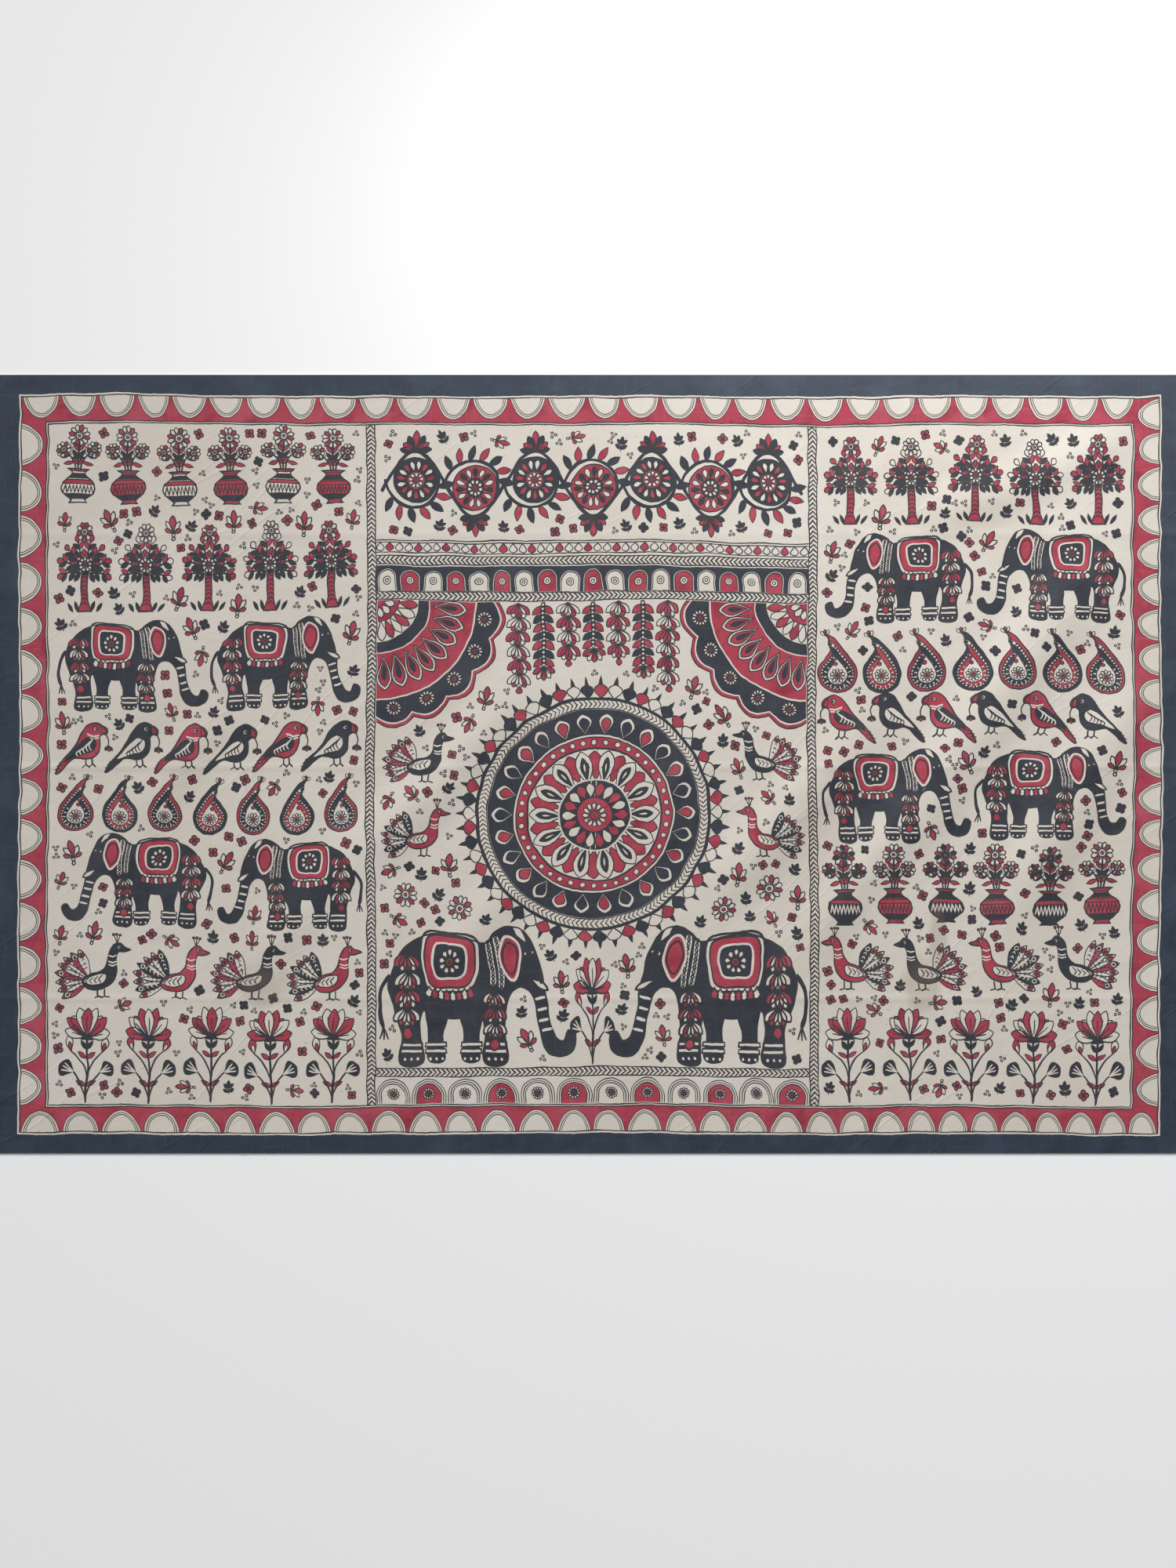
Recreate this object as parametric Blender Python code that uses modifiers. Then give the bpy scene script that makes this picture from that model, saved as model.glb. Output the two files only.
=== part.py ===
"""Painted temple cloth: one cotton sheet with a painted face, laid out flat and face up.

The sheet lies on the plane z = 0, its face up the +Z axis and the top of its picture towards +Y.
Soft waves and pressed storage creases lift it a few millimetres, and between them it touches the
plane. Units are metres.
"""

import math
from collections import namedtuple

import bmesh
import bpy

MM = 0.001

# The sheet as it lies: its width along X, its height along Y and its thickness.
CLOTH_WIDTH = 1508 * MM
CLOTH_HEIGHT = 993 * MM
CLOTH_THICKNESS = 1.2 * MM

# The widest space between two lines of the sheet's mesh.
MESH_SPACING = 22 * MM

# The side edges wander a little, as a torn edge does.
EDGE_WANDER = 1.2 * MM
EDGE_WANDER_TURNS = 2.5

# Soft waves left in the sheet, in millimetres: each runs on a bowed line from start to end, and
# rises to height over a width of twice its reach.
Wave = namedtuple("Wave", "start_x start_y end_x end_y bow height reach")
WAVES = (
    Wave(start_x=-50, start_y=135, end_x=-345, end_y=-165, bow=-10, height=4.2, reach=56),
    Wave(start_x=690, start_y=300, end_x=350, end_y=-185, bow=14, height=5.0, reach=62),
    Wave(start_x=745, start_y=150, end_x=515, end_y=-255, bow=12, height=4.0, reach=58),
    Wave(start_x=385, start_y=85, end_x=110, end_y=-215, bow=-8, height=4.2, reach=54),
    Wave(start_x=440, start_y=-30, end_x=260, end_y=-270, bow=6, height=3.0, reach=48),
    Wave(start_x=735, start_y=445, end_x=375, end_y=300, bow=-12, height=3.4, reach=46),
    Wave(start_x=-445, start_y=90, end_x=-590, end_y=-95, bow=5, height=2.2, reach=44),
    Wave(start_x=-310, start_y=-115, end_x=-425, end_y=-260, bow=-4, height=2.4, reach=44),
    Wave(start_x=-60, start_y=-120, end_x=-205, end_y=-290, bow=6, height=2.6, reach=44),
)
WAVE_END_SHARE = 0.32  # the part of a wave's length over which each of its ends dies away

# Storage creases, pressed in when the sheet was folded away: a level one crosses the whole width
# at a height, and an upright one runs the whole height. Millimetres again.
Crease = namedtuple("Crease", "place height reach swell")
LEVEL_CREASES = (
    Crease(place=293, height=0.35, reach=9, swell=0.9),
    Crease(place=-4, height=0.50, reach=8, swell=2.1),
    Crease(place=-299, height=0.45, reach=8, swell=3.4),
)
UPRIGHT_CREASES = (
    Crease(place=-442, height=0.25, reach=8, swell=1.3),
    Crease(place=3, height=0.25, reach=8, swell=4.2),
)
CREASE_FADE = 0.35  # how much of a crease's height comes and goes along it
CREASE_FADE_LENGTH = 190  # millimetres


def soft_rise(share):
    """0 at 0 and 1 at 1, level at both ends."""
    held = min(max(share, 0.0), 1.0)
    return 0.5 - 0.5 * math.cos(math.pi * held)


def wave_height(wave, x, y):
    """Height in millimetres that one wave gives the point (x, y), also in millimetres."""
    run_x = wave.end_x - wave.start_x
    run_y = wave.end_y - wave.start_y
    length = math.hypot(run_x, run_y)
    along = ((x - wave.start_x) * run_x + (y - wave.start_y) * run_y) / length**2
    if not 0.0 < along < 1.0:
        return 0.0
    aside = ((x - wave.start_x) * run_y - (y - wave.start_y) * run_x) / length
    aside -= wave.bow * math.sin(math.pi * along)
    across = soft_rise(1.0 - abs(aside) / wave.reach)
    ends = soft_rise(min(along, 1.0 - along) / WAVE_END_SHARE)
    return wave.height * across * ends


def crease_height(crease, off, along):
    """Height that one crease gives a point off its line and along it, all in millimetres."""
    across = soft_rise(1.0 - abs(off) / crease.reach)
    fade = 1.0 - CREASE_FADE * (0.5 + 0.5 * math.sin(along / CREASE_FADE_LENGTH + crease.swell))
    return crease.height * across * fade


def lie_height(x, y):
    """Height of the sheet's underside above the surface it lies on, in metres."""
    x_mm = x / MM
    y_mm = y / MM
    rise = sum(wave_height(wave, x_mm, y_mm) for wave in WAVES)
    rise += sum(crease_height(crease, y_mm - crease.place, x_mm) for crease in LEVEL_CREASES)
    rise += sum(crease_height(crease, x_mm - crease.place, y_mm) for crease in UPRIGHT_CREASES)
    return rise * MM


def mesh_lines(length, creases):
    """Places of the mesh lines across a length: its ends, each crease's foot and top, and even
    steps of at most MESH_SPACING between them."""
    fixed = [-length / 2, length / 2]
    for crease in creases:
        for offset in (-crease.reach, 0, crease.reach):
            fixed.append((crease.place + offset) * MM)
    fixed.sort()
    lines = [fixed[0]]
    for low, high in zip(fixed, fixed[1:]):
        steps = math.ceil((high - low) / MESH_SPACING)
        lines += [low + (high - low) * step / steps for step in range(1, steps + 1)]
    return lines


def edge_shift(x, y):
    """How far a point moves along X, so that the side edges wander."""
    share = 2 * x / CLOTH_WIDTH
    turns = math.sin(2 * math.pi * EDGE_WANDER_TURNS * y / CLOTH_HEIGHT + share)
    return -EDGE_WANDER * share**3 * (0.5 + 0.5 * turns)


def make_sheet(name, material):
    """The sheet: its underside as a grid on the lie's height, thickened upwards."""
    columns = mesh_lines(CLOTH_WIDTH, UPRIGHT_CREASES)
    rows = mesh_lines(CLOTH_HEIGHT, LEVEL_CREASES)
    net = bmesh.new()
    bmesh.ops.create_grid(net, x_segments=len(columns) - 1, y_segments=len(rows) - 1, size=0.5)
    for point in net.verts:
        x = columns[round((point.co.x + 0.5) * (len(columns) - 1))]
        y = rows[round((point.co.y + 0.5) * (len(rows) - 1))]
        point.co = (x + edge_shift(x, y), y, lie_height(x, y))
    mesh = bpy.data.meshes.new(name)
    net.to_mesh(mesh)
    net.free()
    mesh.materials.append(material)
    mesh.shade_smooth()
    sheet = bpy.data.objects.new(name, mesh)
    wall = sheet.modifiers.new("Cloth thickness", "SOLIDIFY")
    wall.thickness = CLOTH_THICKNESS
    wall.offset = 1.0
    return sheet


def cotton_material():
    """Undyed, starched cotton."""
    material = bpy.data.materials.new("painted_cotton")
    material.use_nodes = True
    shader = material.node_tree.nodes["Principled BSDF"]
    shader.inputs["Base Color"].default_value = (0.60, 0.56, 0.47, 1.0)
    shader.inputs["Roughness"].default_value = 0.85
    shader.inputs["Metallic"].default_value = 0.0
    return material


for old in list(bpy.data.objects):
    bpy.data.objects.remove(old)

cloth_parts = bpy.data.collections.new("painted_temple_cloth")
bpy.context.scene.collection.children.link(cloth_parts)
cloth_parts.objects.link(make_sheet("cloth", cotton_material()))
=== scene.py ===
import math
from collections import namedtuple

import bpy
import numpy as np
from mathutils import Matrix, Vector
from mathutils.geometry import delaunay_2d_cdt


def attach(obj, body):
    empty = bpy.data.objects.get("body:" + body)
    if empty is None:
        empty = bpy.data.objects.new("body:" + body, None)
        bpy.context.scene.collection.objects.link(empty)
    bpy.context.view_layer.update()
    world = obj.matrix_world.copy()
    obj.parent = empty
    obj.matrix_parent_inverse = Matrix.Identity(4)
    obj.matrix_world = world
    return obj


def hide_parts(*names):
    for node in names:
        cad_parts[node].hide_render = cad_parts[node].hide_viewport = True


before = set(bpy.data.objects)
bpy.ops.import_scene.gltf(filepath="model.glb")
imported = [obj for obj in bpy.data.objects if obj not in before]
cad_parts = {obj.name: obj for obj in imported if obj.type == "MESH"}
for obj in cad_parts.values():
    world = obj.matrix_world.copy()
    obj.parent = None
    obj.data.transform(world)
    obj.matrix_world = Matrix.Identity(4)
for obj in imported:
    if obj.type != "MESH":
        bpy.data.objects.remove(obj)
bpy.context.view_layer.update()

# Camera, floor and light. The cloth lies face up on a plain pale floor, and the camera hangs
# straight above it, with the photo's 1500 x 2000 frame one millimetre a pixel.
MM = 0.001
CAMERA_HEIGHT = 4.0
FRAME_TALL = 2.0
SENSOR = 36.0
CAMERA_PLACE = (0.0, -0.0255, CAMERA_HEIGHT)

camera_data = bpy.data.cameras.new("camera")
camera_data.sensor_width = SENSOR
camera_data.lens = SENSOR * CAMERA_HEIGHT / FRAME_TALL
camera = bpy.data.objects.new("camera", camera_data)
camera.location = CAMERA_PLACE
bpy.context.scene.collection.objects.link(camera)
bpy.context.scene.camera = camera


def plain_material(name, colour, roughness):
    """A Principled material of one colour."""
    material = bpy.data.materials.new(name)
    material.use_nodes = True
    shader = material.node_tree.nodes["Principled BSDF"]
    shader.inputs["Roughness"].default_value = roughness
    shader.inputs["Base Color"].default_value = (*colour, 1.0)
    return material


FLOOR_HALF, FLOOR_DROP = 60.0, 0.0004
FLOOR_GREY, FLOOR_ROUGHNESS = (0.93, 0.93, 0.93), 0.9
floor_mesh = bpy.data.meshes.new("floor")
floor_corners = ((-1, -1), (1, -1), (1, 1), (-1, 1))
floor_mesh.from_pydata([(x * FLOOR_HALF, y * FLOOR_HALF, -FLOOR_DROP) for x, y in floor_corners],
                       [], [(0, 1, 2, 3)])
floor_mesh.materials.append(plain_material("pale_floor", FLOOR_GREY, FLOOR_ROUGHNESS))
floor = bpy.data.objects.new("floor", floor_mesh)
bpy.context.scene.collection.objects.link(floor)

# The sun rakes across the waves from beyond the upper left. One lamp gives the sheen along the top of
# the dark band, and a low one brightens the cloth towards its upper right.
KEY_STRENGTH, KEY_ANGLE = 3.15, 10.0
KEY_FROM = (-0.520, 0.743, 0.423)
key_data = bpy.data.lights.new("key_light", "SUN")
key_data.energy = KEY_STRENGTH
key_data.angle = math.radians(KEY_ANGLE)
key_light = bpy.data.objects.new("key_light", key_data)
key_light.rotation_euler = Vector(KEY_FROM).to_track_quat("Z", "Y").to_euler()
key_light.location = Vector(KEY_FROM) * CAMERA_HEIGHT
bpy.context.scene.collection.objects.link(key_light)
Lamp = namedtuple("Lamp", "name place aim wide tall watts")
LAMPS = (
    Lamp("sheen_light", (1.0, 1.9, 4.0), (0.2, 0.5, 0.0), 1.2, 1.2, 52.0),
    Lamp("glow_light", (0.45, 0.88, 0.45), (0.45, 0.30, 0.0), 0.9, 0.2, 3.2),
)
for lamp in LAMPS:
    lamp_data = bpy.data.lights.new(lamp.name, "AREA")
    lamp_data.shape = "RECTANGLE"
    lamp_data.size = lamp.wide
    lamp_data.size_y = lamp.tall
    lamp_data.energy = lamp.watts
    lamp_object = bpy.data.objects.new(lamp.name, lamp_data)
    lamp_object.location = lamp.place
    aim = Vector(lamp.aim) - Vector(lamp.place)
    lamp_object.rotation_euler = aim.to_track_quat("-Z", "Y").to_euler()
    lamp_object.visible_camera = False
    bpy.context.scene.collection.objects.link(lamp_object)
STUDIO_COLOUR, STUDIO_STRENGTH = (0.95, 0.97, 1.0, 1.0), 0.20
world = bpy.data.worlds.new("studio")
world.use_nodes = True
background = world.node_tree.nodes["Background"]
background.inputs["Color"].default_value = STUDIO_COLOUR
background.inputs["Strength"].default_value = STUDIO_STRENGTH
bpy.context.scene.world = world
bpy.context.scene.view_settings.view_transform = "Standard"

# The cotton sheet: one length of starched plain-weave cotton. It lies in soft diagonal waves, with
# the creases in which it was stored pressed across it. Millimetres, from the sheet's middle.
Wave = namedtuple("Wave", "start_x start_y end_x end_y bow height reach")
WAVES = (
    Wave(-50, 135, -345, -165, -10, 4.2, 56),
    Wave(690, 300, 350, -185, 14, 5.0, 62),
    Wave(745, 150, 515, -255, 12, 4.0, 58),
    Wave(385, 85, 110, -215, -8, 4.2, 54),
    Wave(440, -30, 260, -270, 6, 3.0, 48),
    Wave(735, 445, 375, 300, -12, 3.4, 46),
    Wave(-445, 90, -590, -95, 5, 2.2, 44),
    Wave(-310, -115, -425, -260, -4, 2.4, 44),
    Wave(-60, -120, -205, -290, 6, 2.6, 44),
)
WAVE_END_SHARE = 0.32  # the part of a wave's length over which each of its ends dies away
Crease = namedtuple("Crease", "place height reach swell")
LEVEL_CREASES = (
    Crease(293, 0.35, 9, 0.9),
    Crease(-4, 0.50, 8, 2.1),
    Crease(-299, 0.45, 8, 3.4),
)
UPRIGHT_CREASES = (
    Crease(-442, 0.25, 8, 1.3),
    Crease(3, 0.25, 8, 4.2),
)
CREASE_FADE, CREASE_FADE_LENGTH = 0.35, 190
SHEET_WIDTH, SHEET_TALL, SHEET_THICK = 1508, 993, 1.2
EDGE_WANDER, EDGE_WANDER_TURNS = 1.2, 2.5
NET_STEP, CREASE_STEPS = 7.0, 4


def soft_rise(share):
    """0 at 0 and 1 at 1, level at both ends."""
    return 0.5 - 0.5 * np.cos(np.pi * np.clip(share, 0, 1))


def lie_height(x, y):
    """Height of the sheet's underside above the floor, in millimetres, as (x, y) are."""
    rise = np.zeros_like(x)
    for wave in WAVES:
        run_x = wave.end_x - wave.start_x
        run_y = wave.end_y - wave.start_y
        length = math.hypot(run_x, run_y)
        along = ((x - wave.start_x) * run_x + (y - wave.start_y) * run_y) / length**2
        aside = ((x - wave.start_x) * run_y - (y - wave.start_y) * run_x) / length
        aside = aside - wave.bow * np.sin(np.pi * np.clip(along, 0, 1))
        ends = soft_rise(np.minimum(along, 1 - along) / WAVE_END_SHARE)
        rise += wave.height * soft_rise(1 - abs(aside) / wave.reach) * ends
    for creases, across, along in ((LEVEL_CREASES, y, x), (UPRIGHT_CREASES, x, y)):
        for crease in creases:
            fade = 0.5 + 0.5 * np.sin(along / CREASE_FADE_LENGTH + crease.swell)
            press = soft_rise(1 - abs(across - crease.place) / crease.reach)
            rise += crease.height * press * (1 - CREASE_FADE * fade)
    return rise


def net_lines(length, creases):
    """Places of the sheet's mesh lines: even steps, and closer ones over each crease."""
    fixed = {-length / 2, length / 2}
    for crease in creases:
        fixed.update(crease.place + crease.reach * k / CREASE_STEPS
                     for k in range(-CREASE_STEPS, CREASE_STEPS + 1))
    fixed = sorted(fixed)
    lines = fixed[:1]
    for low, high in zip(fixed, fixed[1:]):
        steps = math.ceil((high - low) / NET_STEP)
        lines += [low + (high - low) * k / steps for k in range(1, steps + 1)]
    return np.array(lines)


def node(tree, kind, inputs=None, **settings):
    """A shader or geometry node with its settings, and its inputs set or linked."""
    made = tree.nodes.new(kind)
    for key, value in settings.items():
        setattr(made, key, value)
    for key, value in (inputs or {}).items():
        if isinstance(value, bpy.types.NodeSocket):
            tree.links.new(value, made.inputs[key])
        else:
            made.inputs[key].default_value = value
    return made


def mottle(tree, place, scale, detail, stretch=(1, 1, 1)):
    """Cloudy noise from 0 to 1 on the object's own coordinates, stretched along an axis."""
    stretched = node(tree, "ShaderNodeMapping", {"Vector": place, "Scale": stretch})
    return node(tree, "ShaderNodeTexNoise",
                {"Vector": stretched.outputs[0], "Scale": scale, "Detail": detail}).outputs["Fac"]


def blend_colour(tree, share, first, second):
    """Mixes two colours, each a socket or four numbers, by a share."""
    mix = node(tree, "ShaderNodeMix", data_type="RGBA")
    for socket, value in ((mix.inputs[0], share), (mix.inputs[6], first), (mix.inputs[7], second)):
        if isinstance(value, bpy.types.NodeSocket):
            tree.links.new(value, socket)
        else:
            socket.default_value = value
    return mix.outputs[2]


def spread(tree, value, low, high, to_low=0.0, to_high=1.0):
    """Maps the part of a value between low and high onto a new range, and holds it at the ends."""
    return node(tree, "ShaderNodeMapRange", {"Value": value, "From Min": low, "From Max": high,
                                             "To Min": to_low, "To Max": to_high}).outputs[0]


THREADS_PER_METRE, WAVE_BANDS = 1400, 20  # a wave texture of scale 1 turns 20 radians a metre
THREAD_WANDER = 1.4
SLUB_SCALE, SLUB_LENGTH = 420.0, 0.06
CRUMPLE_SCALE = 26.0
# Small pressed folds: how many in a metre, how sharp, how far they are turned and drawn out, and
# the size of the patches in which they gather.
FOLD_SCALE, FOLD_SHARPNESS = 12.0, 0.012
FOLD_TURN, FOLD_STRETCH, FOLD_PATCHES = 0.9, (1.0, 0.16, 1.0), 5.5
Bump = namedtuple("Bump", "strength depth")
WEAVE_BUMP, CRUMPLE_BUMP, FOLD_BUMP = Bump(0.3, 0.00005), Bump(0.55, 0.0016), Bump(0.7, 0.00028)


def raised(tree, bump, height, under=None):
    """Bump from a height, over the bump made before it."""
    inputs = {"Strength": bump.strength, "Distance": bump.depth, "Height": height}
    if under:
        inputs["Normal"] = under
    return node(tree, "ShaderNodeBump", inputs).outputs[0]


def woven_bump(tree, place):
    """The relief of plain weave, with slubs, fine crumpling and small pressed folds."""
    threads = []
    fineness = 2 * math.pi * THREADS_PER_METRE / WAVE_BANDS
    for axis, stretch in (("X", (1, SLUB_LENGTH, 1)), ("Y", (SLUB_LENGTH, 1, 1))):
        wave = node(tree, "ShaderNodeTexWave", {"Vector": place, "Scale": fineness,
                                                "Distortion": THREAD_WANDER, "Detail Scale": 2.0},
                    bands_direction=axis)
        slub = mottle(tree, place, SLUB_SCALE, 2.0, stretch)
        threads.append(node(tree, "ShaderNodeMath",
                            {0: wave.outputs["Fac"], 1: slub}, operation="MULTIPLY").outputs[0])
    cloth = node(tree, "ShaderNodeMath", {0: threads[0], 1: threads[1]}, operation="ADD")
    crumple = mottle(tree, place, CRUMPLE_SCALE, 5.0)
    slanted = node(tree, "ShaderNodeMapping", {"Vector": place, "Rotation": (0.0, 0.0, FOLD_TURN)})
    across = mottle(tree, slanted.outputs[0], FOLD_SCALE, 2.0, FOLD_STRETCH)
    from_fold = node(tree, "ShaderNodeMath", {0: across, 1: 0.5}, operation="SUBTRACT")
    off_fold = node(tree, "ShaderNodeMath", {0: from_fold.outputs[0]}, operation="ABSOLUTE")
    fold = spread(tree, off_fold.outputs[0], 0.0, FOLD_SHARPNESS, 1.0, 0.0)
    here = spread(tree, mottle(tree, place, FOLD_PATCHES, 2.0), 0.47, 0.60)
    folds = node(tree, "ShaderNodeMath", {0: fold, 1: here}, operation="MULTIPLY")
    weave = raised(tree, WEAVE_BUMP, cloth.outputs[0])
    return raised(tree, FOLD_BUMP, folds.outputs[0], raised(tree, CRUMPLE_BUMP, crumple, weave))


def dyed_material(name, roughness, sheen):
    """A woven cloth material with no colour yet, and its node tree, coordinates and shader."""
    material = bpy.data.materials.new(name)
    material.use_nodes = True
    tree = material.node_tree
    place = node(tree, "ShaderNodeTexCoord").outputs["Object"]
    shader = tree.nodes["Principled BSDF"]
    shader.inputs["Roughness"].default_value = roughness
    shader.inputs["Sheen Weight"].default_value = sheen
    shader.inputs["Sheen Roughness"].default_value = 0.5
    tree.links.new(woven_bump(tree, place), shader.inputs["Normal"])
    return material, tree, place, shader


COTTON_PALE, COTTON_WARM = (0.665, 0.618, 0.552, 1), (0.61, 0.55, 0.475, 1)
COTTON_GREY, SPECK_BROWN = (0.56, 0.525, 0.48, 1), (0.36, 0.27, 0.18, 1)
# Brown patches left by water, tan on the cotton and darker on a dye: middles and half-sizes, in metres.
STAIN_TAN, STAIN_BROWN = (0.40, 0.33, 0.26, 1), (0.100, 0.078, 0.064, 1)
STAIN_RAGGED, STAIN_EDGE, STAIN_FULL = 1.1, 1.60, 1.10
Stain = namedtuple("Stain", "x y half_x half_y")
STAINS = (
    Stain(0.446, -0.222, 0.013, 0.062),
    Stain(0.426, -0.286, 0.028, 0.040),
    Stain(-0.416, -0.284, 0.040, 0.030),
)


def stained(tree, place):
    """How far the brown patches reach: 1 in their middles, ragged at the edge, and 0 elsewhere."""
    ragged = mottle(tree, place, 38.0, 4.0)
    share = 0.0
    for stain in STAINS:
        middle = (-stain.x / stain.half_x, -stain.y / stain.half_y, 0)
        centred = node(tree, "ShaderNodeMapping", {"Vector": place, "Location": middle,
                                                   "Scale": (1 / stain.half_x, 1 / stain.half_y, 0)})
        reach = node(tree, "ShaderNodeVectorMath", {0: centred.outputs[0]}, operation="LENGTH")
        uneven = node(tree, "ShaderNodeMath", {0: ragged, 1: STAIN_RAGGED, 2: reach.outputs["Value"]},
                      operation="MULTIPLY_ADD")
        patch = spread(tree, uneven.outputs[0], STAIN_EDGE, STAIN_FULL)
        share = node(tree, "ShaderNodeMath", {0: patch, 1: share}, operation="MAXIMUM").outputs[0]
    return share


def stain_over(tree, place, colour, stain, strength):
    """Tints a colour where the brown patches lie."""
    share = spread(tree, stained(tree, place), 0.0, 1.0, 0.0, strength)
    return blend_colour(tree, share, colour, stain)


# The cotton's own marks, laid one over another: how fine each is, the stretch of the noise that it
# takes up, how strong it is and its colour. A length below 1 draws it out into threads.
Tint = namedtuple("Tint", "scale detail low high strength colour length", defaults=(1,))
COTTON_TINTS = (
    Tint(4.5, 4.0, 0.35, 0.68, 1.0, COTTON_WARM),
    Tint(11.0, 5.0, 0.58, 0.80, 0.7, COTTON_GREY),
    Tint(700.0, 2.0, 0.50, 0.80, 0.35, COTTON_GREY, 0.05),
    Tint(260.0, 1.0, 0.74, 0.80, 0.5, SPECK_BROWN),
)
COTTON_ROUGHNESS, COTTON_SHEEN, COTTON_STAIN = 0.82, 0.12, 0.45


def tinted(tree, place, colour, tints):
    """A colour with cloudy or threadlike marks of other colours laid over it."""
    for tint in tints:
        ways = ((1, 1, 1),) if tint.length == 1 else ((1, tint.length, 1), (tint.length, 1, 1))
        for stretch in ways:
            noise = mottle(tree, place, tint.scale, tint.detail, stretch)
            share = spread(tree, noise, tint.low, tint.high, 0.0, tint.strength)
            colour = blend_colour(tree, share, colour, tint.colour)
    return colour


def cotton_material():
    """Bare starched cotton: cream, greyer in clouds, with slubs, specks and brown patches."""
    material, tree, place, shader = dyed_material("painted_cotton", COTTON_ROUGHNESS, COTTON_SHEEN)
    colour = tinted(tree, place, COTTON_PALE, COTTON_TINTS)
    colour = stain_over(tree, place, colour, STAIN_TAN, COTTON_STAIN)
    tree.links.new(colour, shader.inputs["Base Color"])
    return material


def mesh_object(name, points, faces, material_of_face, materials):
    """A mesh object at the origin, from points in millimetres."""
    mesh = bpy.data.meshes.new(name)
    mesh.from_pydata((points * MM).tolist(), [], faces.tolist())
    for material in materials:
        mesh.materials.append(material)
    mesh.polygons.foreach_set("material_index", np.asarray(material_of_face, np.int32))
    made = bpy.data.objects.new(name, mesh)
    bpy.context.scene.collection.objects.link(made)
    return made


net_x = net_lines(SHEET_WIDTH, UPRIGHT_CREASES)
net_y = net_lines(SHEET_TALL, LEVEL_CREASES)
sheet_x, sheet_y = (grid.ravel() for grid in np.meshgrid(net_x, net_y))
side_share = 2 * sheet_x / SHEET_WIDTH
edge_turns = np.sin(2 * np.pi * EDGE_WANDER_TURNS * sheet_y / SHEET_TALL + side_share)
sheet_x = sheet_x - EDGE_WANDER * side_share**3 * (0.5 + 0.5 * edge_turns)
sheet_points = np.column_stack([sheet_x, sheet_y, lie_height(sheet_x, sheet_y) + SHEET_THICK])
corner = (np.arange(len(net_y) - 1)[:, None] * len(net_x) + np.arange(len(net_x) - 1)).ravel()
sheet_faces = np.column_stack([corner, corner + 1, corner + 1 + len(net_x), corner + len(net_x)])
cotton = cotton_material()
one_material = np.zeros(len(sheet_faces))
cotton_sheet = mesh_object("cotton_sheet", sheet_points, sheet_faces, one_material, [cotton])
cotton_sheet.data.shade_smooth()
sheet_wall = cotton_sheet.modifiers.new("Cloth thickness", "SOLIDIFY")
sheet_wall.thickness = SHEET_THICK * MM
sheet_wall.offset = -1.0
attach(cotton_sheet, "root")
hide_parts("cloth")

# The plain outer band: iron-black dye brushed round the whole sheet, up to the edge of the ruled
# field. Every painted piece is a drawing of dyed fills and pen lines, laid on the cotton.
FIELD_LEFT, FIELD_RIGHT, FIELD_TOP, FIELD_BOTTOM = -727, 730, 470.5, -472.5
# Each coat of a drawing lies a layer above the last, and each stroke of a coat a hair above the one
# before, so that what is drawn later covers what is drawn first.
BASE_LIFT, LAYER_LIFT = 0.12, 0.085
STROKE_LIFT, STROKE_ROUND = 0.006, 5
PEN_LAYER, PEN_WEIGHT = 4, 1.5
PEN_SWELL, PEN_SWELL_RUN, PEN_END = 0.14, 11, 0.7
FILL_STEP, PEN_STEP = 3.9, 3.5

# Each dye's usual, pooled and thin colours, how matt it is, its gloss, and how brown its stains are.
Dye = namedtuple("Dye", "name usual deep pale roughness gloss stain", defaults=(0.5, 0.25))
BRUSHED = {
    "band": Dye("band_black", (0.015, 0.029, 0.052, 1), (0.010, 0.019, 0.036, 1),
                (0.038, 0.058, 0.090, 1), 0.52, 0.60, 0.75),
    "black": Dye("iron_black", (0.027, 0.032, 0.044, 1), (0.016, 0.020, 0.028, 1),
                 (0.055, 0.060, 0.075, 1), 0.60, 0.42, 0.75),
    "red": Dye("madder_red", (0.375, 0.038, 0.066, 1), (0.235, 0.014, 0.034, 1),
               (0.46, 0.095, 0.125, 1), 0.78),
    "ink": Dye("pen_black", (0.030, 0.031, 0.036, 1), (0.030, 0.031, 0.036, 1),
               (0.060, 0.055, 0.055, 1), 0.75),
}


def brushed_dye(dye):
    """Dye that pools deep in clouds, thins to pale patches and streaks with the brush."""
    material, tree, place, shader = dyed_material(dye.name, dye.roughness, 0.0)
    shader.inputs["Specular IOR Level"].default_value = dye.gloss
    pooled_thin_and_streaked = (Tint(34.0, 5.0, 0.50, 0.74, 1.0, dye.deep),
                                Tint(15.0, 4.0, 0.52, 0.78, 0.8, dye.pale),
                                Tint(240.0, 3.0, 0.56, 0.80, 0.45, dye.pale, 0.12))
    colour = tinted(tree, place, dye.usual, pooled_thin_and_streaked)
    colour = stain_over(tree, place, colour, STAIN_BROWN, dye.stain)
    tree.links.new(colour, shader.inputs["Base Color"])
    return material


DYES = {"cotton": cotton, **{name: brushed_dye(dye) for name, dye in BRUSHED.items()}}


def walk(line, step, closed=False):
    """The same line with further points on it, none more than a step apart."""
    line = np.asarray(line, float)
    after = np.vstack([line[1:], line[:1]]) if closed else line[1:]
    found = []
    for here, there in zip(line, after):
        gap = math.dist(here, there)
        if gap > 1e-6:
            count = math.ceil(gap / step)
            found.append(here + (there - here) * np.arange(count)[:, None] / count)
    if not closed:
        found.append(line[-1:])
    return np.vstack(found)


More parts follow.
